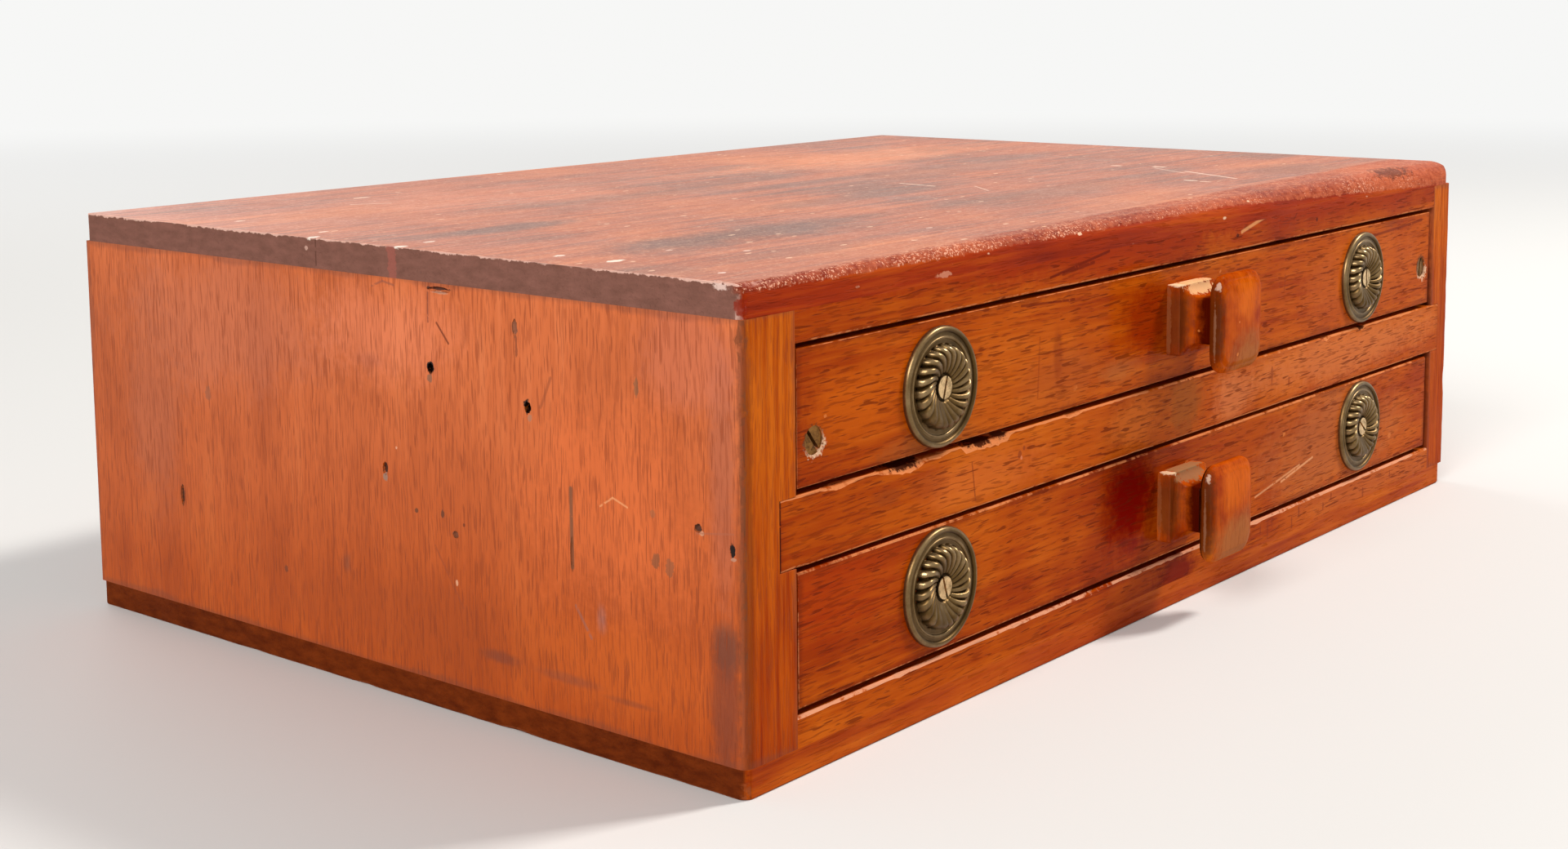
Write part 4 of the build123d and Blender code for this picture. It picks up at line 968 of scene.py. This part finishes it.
# the last value is the stem top's painted light: a pale painted highlight, partly wear, on the upper pull and painted
# shade on the lower one
addPull("upper_pull", 0.21, (0.86, 0.50, 0.24))
addPull("lower_pull", 0.74, (0.30, 0.15, 0.065))
print("pulls done")


# Rosettes: a pressed brass rose with a beaded rim, a thin ring and swirled gadroons round a sunk eye.

roseSizes = {"radius": 15.3, "bead": 1.35, "band": 0.95, "ring": 12.3, "ringHigh": 1.3, "dome": 10.7,
             "domeHigh": 3.55, "crest": 8.4, "eye": 3.7, "eyeHigh": 1.3, "gadroons": 22, "swirl": 26,
             "groove": 1.3, "flat": 0.8, "steps": 264}


def roseProfile(s):
    rows = [(s["radius"], 0), (s["radius"], 0.45)]
    for i in range(7):   # beaded rim
        angle = math.pi * i / 6
        rows.append((s["radius"] - 0.8 + 0.8 * math.cos(angle),
                     0.55 + (s["bead"] - 0.55) * math.sin(angle) + 0.3 * i / 6))
    rows += [(s["ring"] + 0.75, s["band"])]
    for i in range(7):   # thin ring
        angle = math.pi * i / 6
        rows.append((s["ring"] + 0.38 * math.cos(angle),
                     s["band"] - 0.25 * i / 6 + (s["ringHigh"] - s["band"]) * math.sin(angle)))
    rows += [(s["ring"] - 0.6, s["band"] - 0.3), (s["dome"] + 0.3, s["band"] - 0.3)]
    for i in range(22):  # dome, from its foot over the crest and down to the eye
        share = i / 21
        r = s["dome"] + (s["eye"] - s["dome"]) * share
        if r > s["crest"]:
            k = (s["dome"] - r) / (s["dome"] - s["crest"])
            height = s["band"] - 0.3 + (s["domeHigh"] - s["band"] + 0.3) * math.sqrt(max(0.0, 1 - (1 - k) ** 2))
        else:
            k = (s["crest"] - r) / (s["crest"] - s["eye"])
            height = s["domeHigh"] - (s["domeHigh"] - s["eyeHigh"] - 0.4) * k ** 1.35
        rows.append((r, height))
    rows += [(s["eye"] - 0.15, s["eyeHigh"] - 0.3), (s["eye"] - 0.6, s["eyeHigh"] - 0.5), (0.8, s["eyeHigh"] - 0.5)]
    return rows


def addRosette(node, turn):
    name, s = camelName(node), roseSizes
    lo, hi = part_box(node)
    centre = Vector(((lo.x + hi.x) / 2, hi.y, (lo.z + hi.z) / 2))
    bm = bmesh.new()
    verts = [bm.verts.new((r * mm, -h * mm, 0)) for r, h in roseProfile(s)]
    edges = [bm.edges.new(pair) for pair in zip(verts, verts[1:])]
    bmesh.ops.spin(bm, geom=verts + edges, cent=(0, 0, 0), axis=(0, 1, 0), angle=math.tau, steps=s["steps"],
                   use_merge=True)
    relief = bm.verts.layers.float.new("relief")
    for vert in bm.verts:
        r = math.hypot(vert.co.x, vert.co.z) / mm
        angle = math.atan2(vert.co.z, vert.co.x)
        vert[relief] = 0.38
        if s["eye"] - 0.1 < r < s["dome"] + 0.2:
            share = (r - s["eye"]) / (s["dome"] - s["eye"])
            twisted = angle - math.radians(s["swirl"]) * share + turn
            lobe = abs(math.cos(twisted * s["gadroons"] / 2))
            lobe = 1 - (1 - lobe) ** 1.6
            fade = min(1.0, 0.25 + 1.15 * share)
            worn = 1 + 0.3 * noise.noise(Vector((angle * 2, turn, 3)))
            worn -= s["flat"] * max(0.0, -math.sin(angle + 0.3)) ** 2     # pressed flatter at the foot
            vert.co.y += (1 - lobe) * s["groove"] * fade * worn * mm
            pinch = 1 - 0.13 * worn * (1 - lobe) ** 1.5 * max(0.0, share - 0.72) * 3.6
            vert.co.x *= pinch
            vert.co.z *= pinch
            vert[relief] = 0.45 + (lobe * (0.55 + 0.45 * share) - 0.45) * worn
        elif r < s["eye"]:
            vert[relief] = 0.0
        elif abs(r - s["ring"]) < 0.4 or r > s["radius"] - 0.9:
            vert[relief] = 0.72
        dent = noise.noise(vert.co * 120 + Vector((turn * 5, 0, 0))) * 0.10 * mm
        vert.co.y += max(0.0, dent)
    bmesh.ops.translate(bm, verts=bm.verts, vec=centre)
    bmesh.ops.holes_fill(bm, edges=[e for e in bm.edges if e.is_boundary], sides=0)
    bmesh.ops.recalc_face_normals(bm, faces=bm.faces)
    markSharp(bm, 60)
    addPiece(name, bm, [node], brassFinish(name + "Brass", agedBrass))


agedBrass = {"tarnish": (0.042, 0.022, 0.005), "body": (0.118, 0.066, 0.020), "bright": (0.35, 0.24, 0.12),
             "roughness": 0.30, "patches": 160}


def brassFinish(name, look):
    finish = Finish(name)
    place = finish.node("ShaderNodeTexCoord", output="Object")
    height = finish.node("ShaderNodeAttribute", {"attribute_name": "relief"}, output="Fac")
    patch = finish.noise(place, (look["patches"],) * 3, 4.0, 0.6)
    grit = finish.noise(place, (1800, 1800, 1800), 2.0)
    level = height * 0.8 + (patch - 0.5) * 0.8 + (grit - 0.5) * 0.2
    colour = finish.ramp(level, [(0.0, look["tarnish"]), (0.42, look["body"]), (1.0, look["bright"])])
    roughness = (0.75 - level) * 0.35 + (grit - 0.5) * 0.2 + look["roughness"]
    normal = finish.bump(patch * 0.4 + grit * 0.25, 0.06 * mm, 0.8)
    return finish.close({"Base Color": colour, "Metallic": 0.92, "Roughness": roughness, "Normal": normal})


addRosette("upper_rosette_left", 0.4)
addRosette("upper_rosette_right", 1.9)
addRosette("lower_rosette_left", 2.7)
addRosette("lower_rosette_right", 4.4)
print("rosettes done")


# Screws: the imported screws with each slot turned its own way and their faces shaded smooth across gentle angles.

def metalFinish(name, look):
    finish = Finish(name)
    place = finish.node("ShaderNodeTexCoord", output="Object")
    patch = finish.noise(place, (420, 420, 420), 3.0, 0.6)
    grit = finish.noise(place, (2600, 2600, 2600), 2.0)
    level = patch + (grit - 0.5) * 0.5
    colour = finish.ramp(level, [(0.32, look["dark"]), (0.62, look["bright"])])
    roughness = (0.5 - patch) * 0.4 + look["roughness"]
    return finish.close({"Base Color": colour, "Metallic": 0.9, "Roughness": roughness,
                         "Normal": finish.bump(level, 0.05 * mm, 0.7)})


brightBrass = {"dark": (0.30, 0.20, 0.09), "bright": (0.72, 0.49, 0.25), "roughness": 0.34}
dullSteel = {"dark": (0.090, 0.034, 0.006), "bright": (0.27, 0.122, 0.025), "roughness": 0.5}


def addScrews(node, axis, angles, material):
    bm = copyNode(node)
    loose = set(bm.verts)
    islands = []
    while loose:
        island, edge = set(), [loose.pop()]
        while edge:
            vert = edge.pop()
            island.add(vert)
            for link in vert.link_edges:
                other = link.other_vert(vert)
                if other in loose:
                    loose.discard(other)
                    edge.append(other)
        islands.append(island)
    islands.sort(key=lambda island: [round(min(vert.co[i] for vert in island), 4) for i in (0, 1)])
    for island, angle in zip(islands, angles):
        middle = [(min(v.co[i] for v in island) + max(v.co[i] for v in island)) / 2 for i in range(3)]
        bmesh.ops.rotate(bm, verts=list(island), cent=Vector(middle),
                         matrix=Matrix.Rotation(math.radians(angle), 3, axis.upper()))
    markSharp(bm, 40)
    addPiece(camelName(node), bm, [node], material)


brassScrew = metalFinish("brassScrew", brightBrass)
steelScrew = metalFinish("steelScrew", dullSteel)
addScrews("upper_rosette_screws", "y", (-74, -95), brassScrew)
addScrews("lower_rosette_screws", "y", (-108, 40), brassScrew)
addScrews("upper_end_screws", "y", (52, -80), steelScrew)
addScrews("upper_pull_screw", "y", (25,), steelScrew)
addScrews("lower_pull_screw", "y", (-60,), steelScrew)
addScrews("base_screws", "z", (10, 75, -30, 40, -65, 20), steelScrew)
dowels = frame["nodes"]["top_dowels"].data.materials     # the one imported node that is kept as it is
dowels.clear()
dowels.append(woodFinish("dowelWood", {**plainWood, "grain": "z"}, *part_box("top_dowels")))
print("screws done")


# Studio: pale floor, soft light, camera.

studio = {
    "floor": 12.0, "floorColour": (0.70, 0.69, 0.67), "pale": (0.93, 0.93, 0.92), "fade": (0.55, 2.4),
    "worldColour": (0.96, 0.98, 1.0), "worldStrength": 0.33,
    "lamps": [("keyLamp", (1.25, -0.85, 1.60), 0.32, 41.0, (1.0, 0.97, 0.93)),
              ("sideLamp", (-1.5, -0.45, 1.15), 0.7, 20.5, (1.0, 0.98, 0.96)),
              ("backLamp", (0.4, 1.6, 1.1), 1.0, 9.0, (1.0, 1.0, 1.0))],
    "camera": (-0.5456, -0.42541, 0.18254), "yaw": 50.5428, "pitch": -6.9571, "roll": -0.4746,
    "lens": 48.58, "shiftY": -0.1146,
}


def addFloor():          # near the box it is lit paper, and further off it fades to the plain background
    bm = bmesh.new()
    bmesh.ops.create_grid(bm, x_segments=1, y_segments=1, size=studio["floor"])
    mesh = bpy.data.meshes.new("floor")
    bm.to_mesh(mesh)
    bm.free()
    floor = bpy.data.objects.new("floor", mesh)
    bpy.context.scene.collection.objects.link(floor)
    finish = Finish("floorPaper")
    place = finish.node("ShaderNodeTexCoord", output="Object")
    away = finish.ease(finish.vector("LENGTH", place, output=1), *studio["fade"])
    seen = finish.others(finish.node("ShaderNodeLightPath"), "Is Camera Ray")[0]
    paper = finish.node("ShaderNodeBsdfPrincipled", None, {
        "Base Color": (*studio["floorColour"], 1), "Roughness": 0.8, "Specular IOR Level": 0.1})
    plain = finish.node("ShaderNodeEmission", None, {"Color": (*studio["pale"], 1), "Strength": 1.0})
    both = finish.node("ShaderNodeMixShader", None, {0: away * seen, 1: paper, 2: plain})
    finish.node("ShaderNodeOutputMaterial", None, {"Surface": both})
    mesh.materials.append(finish.owner)


def addWorld():
    sky = Finish("studioWorld", "worlds")
    rays = sky.others(sky.node("ShaderNodeLightPath"), "Is Camera Ray", "Is Glossy Ray", "Is Transmission Ray")
    seen = sky.maths("MAXIMUM", sky.maths("MAXIMUM", rays[0], rays[1]), rays[2])
    light = sky.node("ShaderNodeBackground", None, {
        "Color": (*studio["worldColour"], 1), "Strength": studio["worldStrength"]})
    pale = sky.node("ShaderNodeBackground", None, {"Color": (*studio["pale"], 1), "Strength": 1.0})
    both = sky.node("ShaderNodeMixShader", None, {0: seen, 1: light, 2: pale})
    sky.node("ShaderNodeOutputWorld", None, {"Surface": both})
    bpy.context.scene.world = sky.owner


def addLamps():
    middle = (Vector(cadBox[0]) + Vector(cadBox[1])) / 2
    for name, place, size, power, colour in studio["lamps"]:
        lamp = bpy.data.lights.new(name, "AREA")
        lamp.size = size
        lamp.energy = power
        lamp.color = colour
        holder = bpy.data.objects.new(name, lamp)
        holder.location = place
        holder.rotation_euler = (middle - Vector(place)).to_track_quat("-Z", "Y").to_euler()
        bpy.context.scene.collection.objects.link(holder)


def addCamera():
    camera = bpy.data.cameras.new("camera")
    camera.sensor_width = 36
    camera.lens = studio["lens"]
    camera.shift_y = studio["shiftY"]
    camera.clip_end = 50
    yaw, pitch, roll = [math.radians(studio[key]) for key in ("yaw", "pitch", "roll")]
    forward = Vector((math.sin(yaw) * math.cos(pitch), math.cos(yaw) * math.cos(pitch), math.sin(pitch)))
    level = Vector((math.cos(yaw), -math.sin(yaw), 0))
    upright = level.cross(forward)
    aside = level * math.cos(roll) + upright * math.sin(roll)
    up = upright * math.cos(roll) - level * math.sin(roll)
    holder = bpy.data.objects.new("camera", camera)
    turned = Matrix((aside, up, -forward)).transposed().to_4x4()
    holder.matrix_world = Matrix.Translation(Vector(studio["camera"])) @ turned
    bpy.context.scene.collection.objects.link(holder)
    bpy.context.scene.camera = holder


addFloor()
addWorld()
addLamps()
addCamera()
bpy.context.scene.view_settings.view_transform = "Standard"
print("studio done")
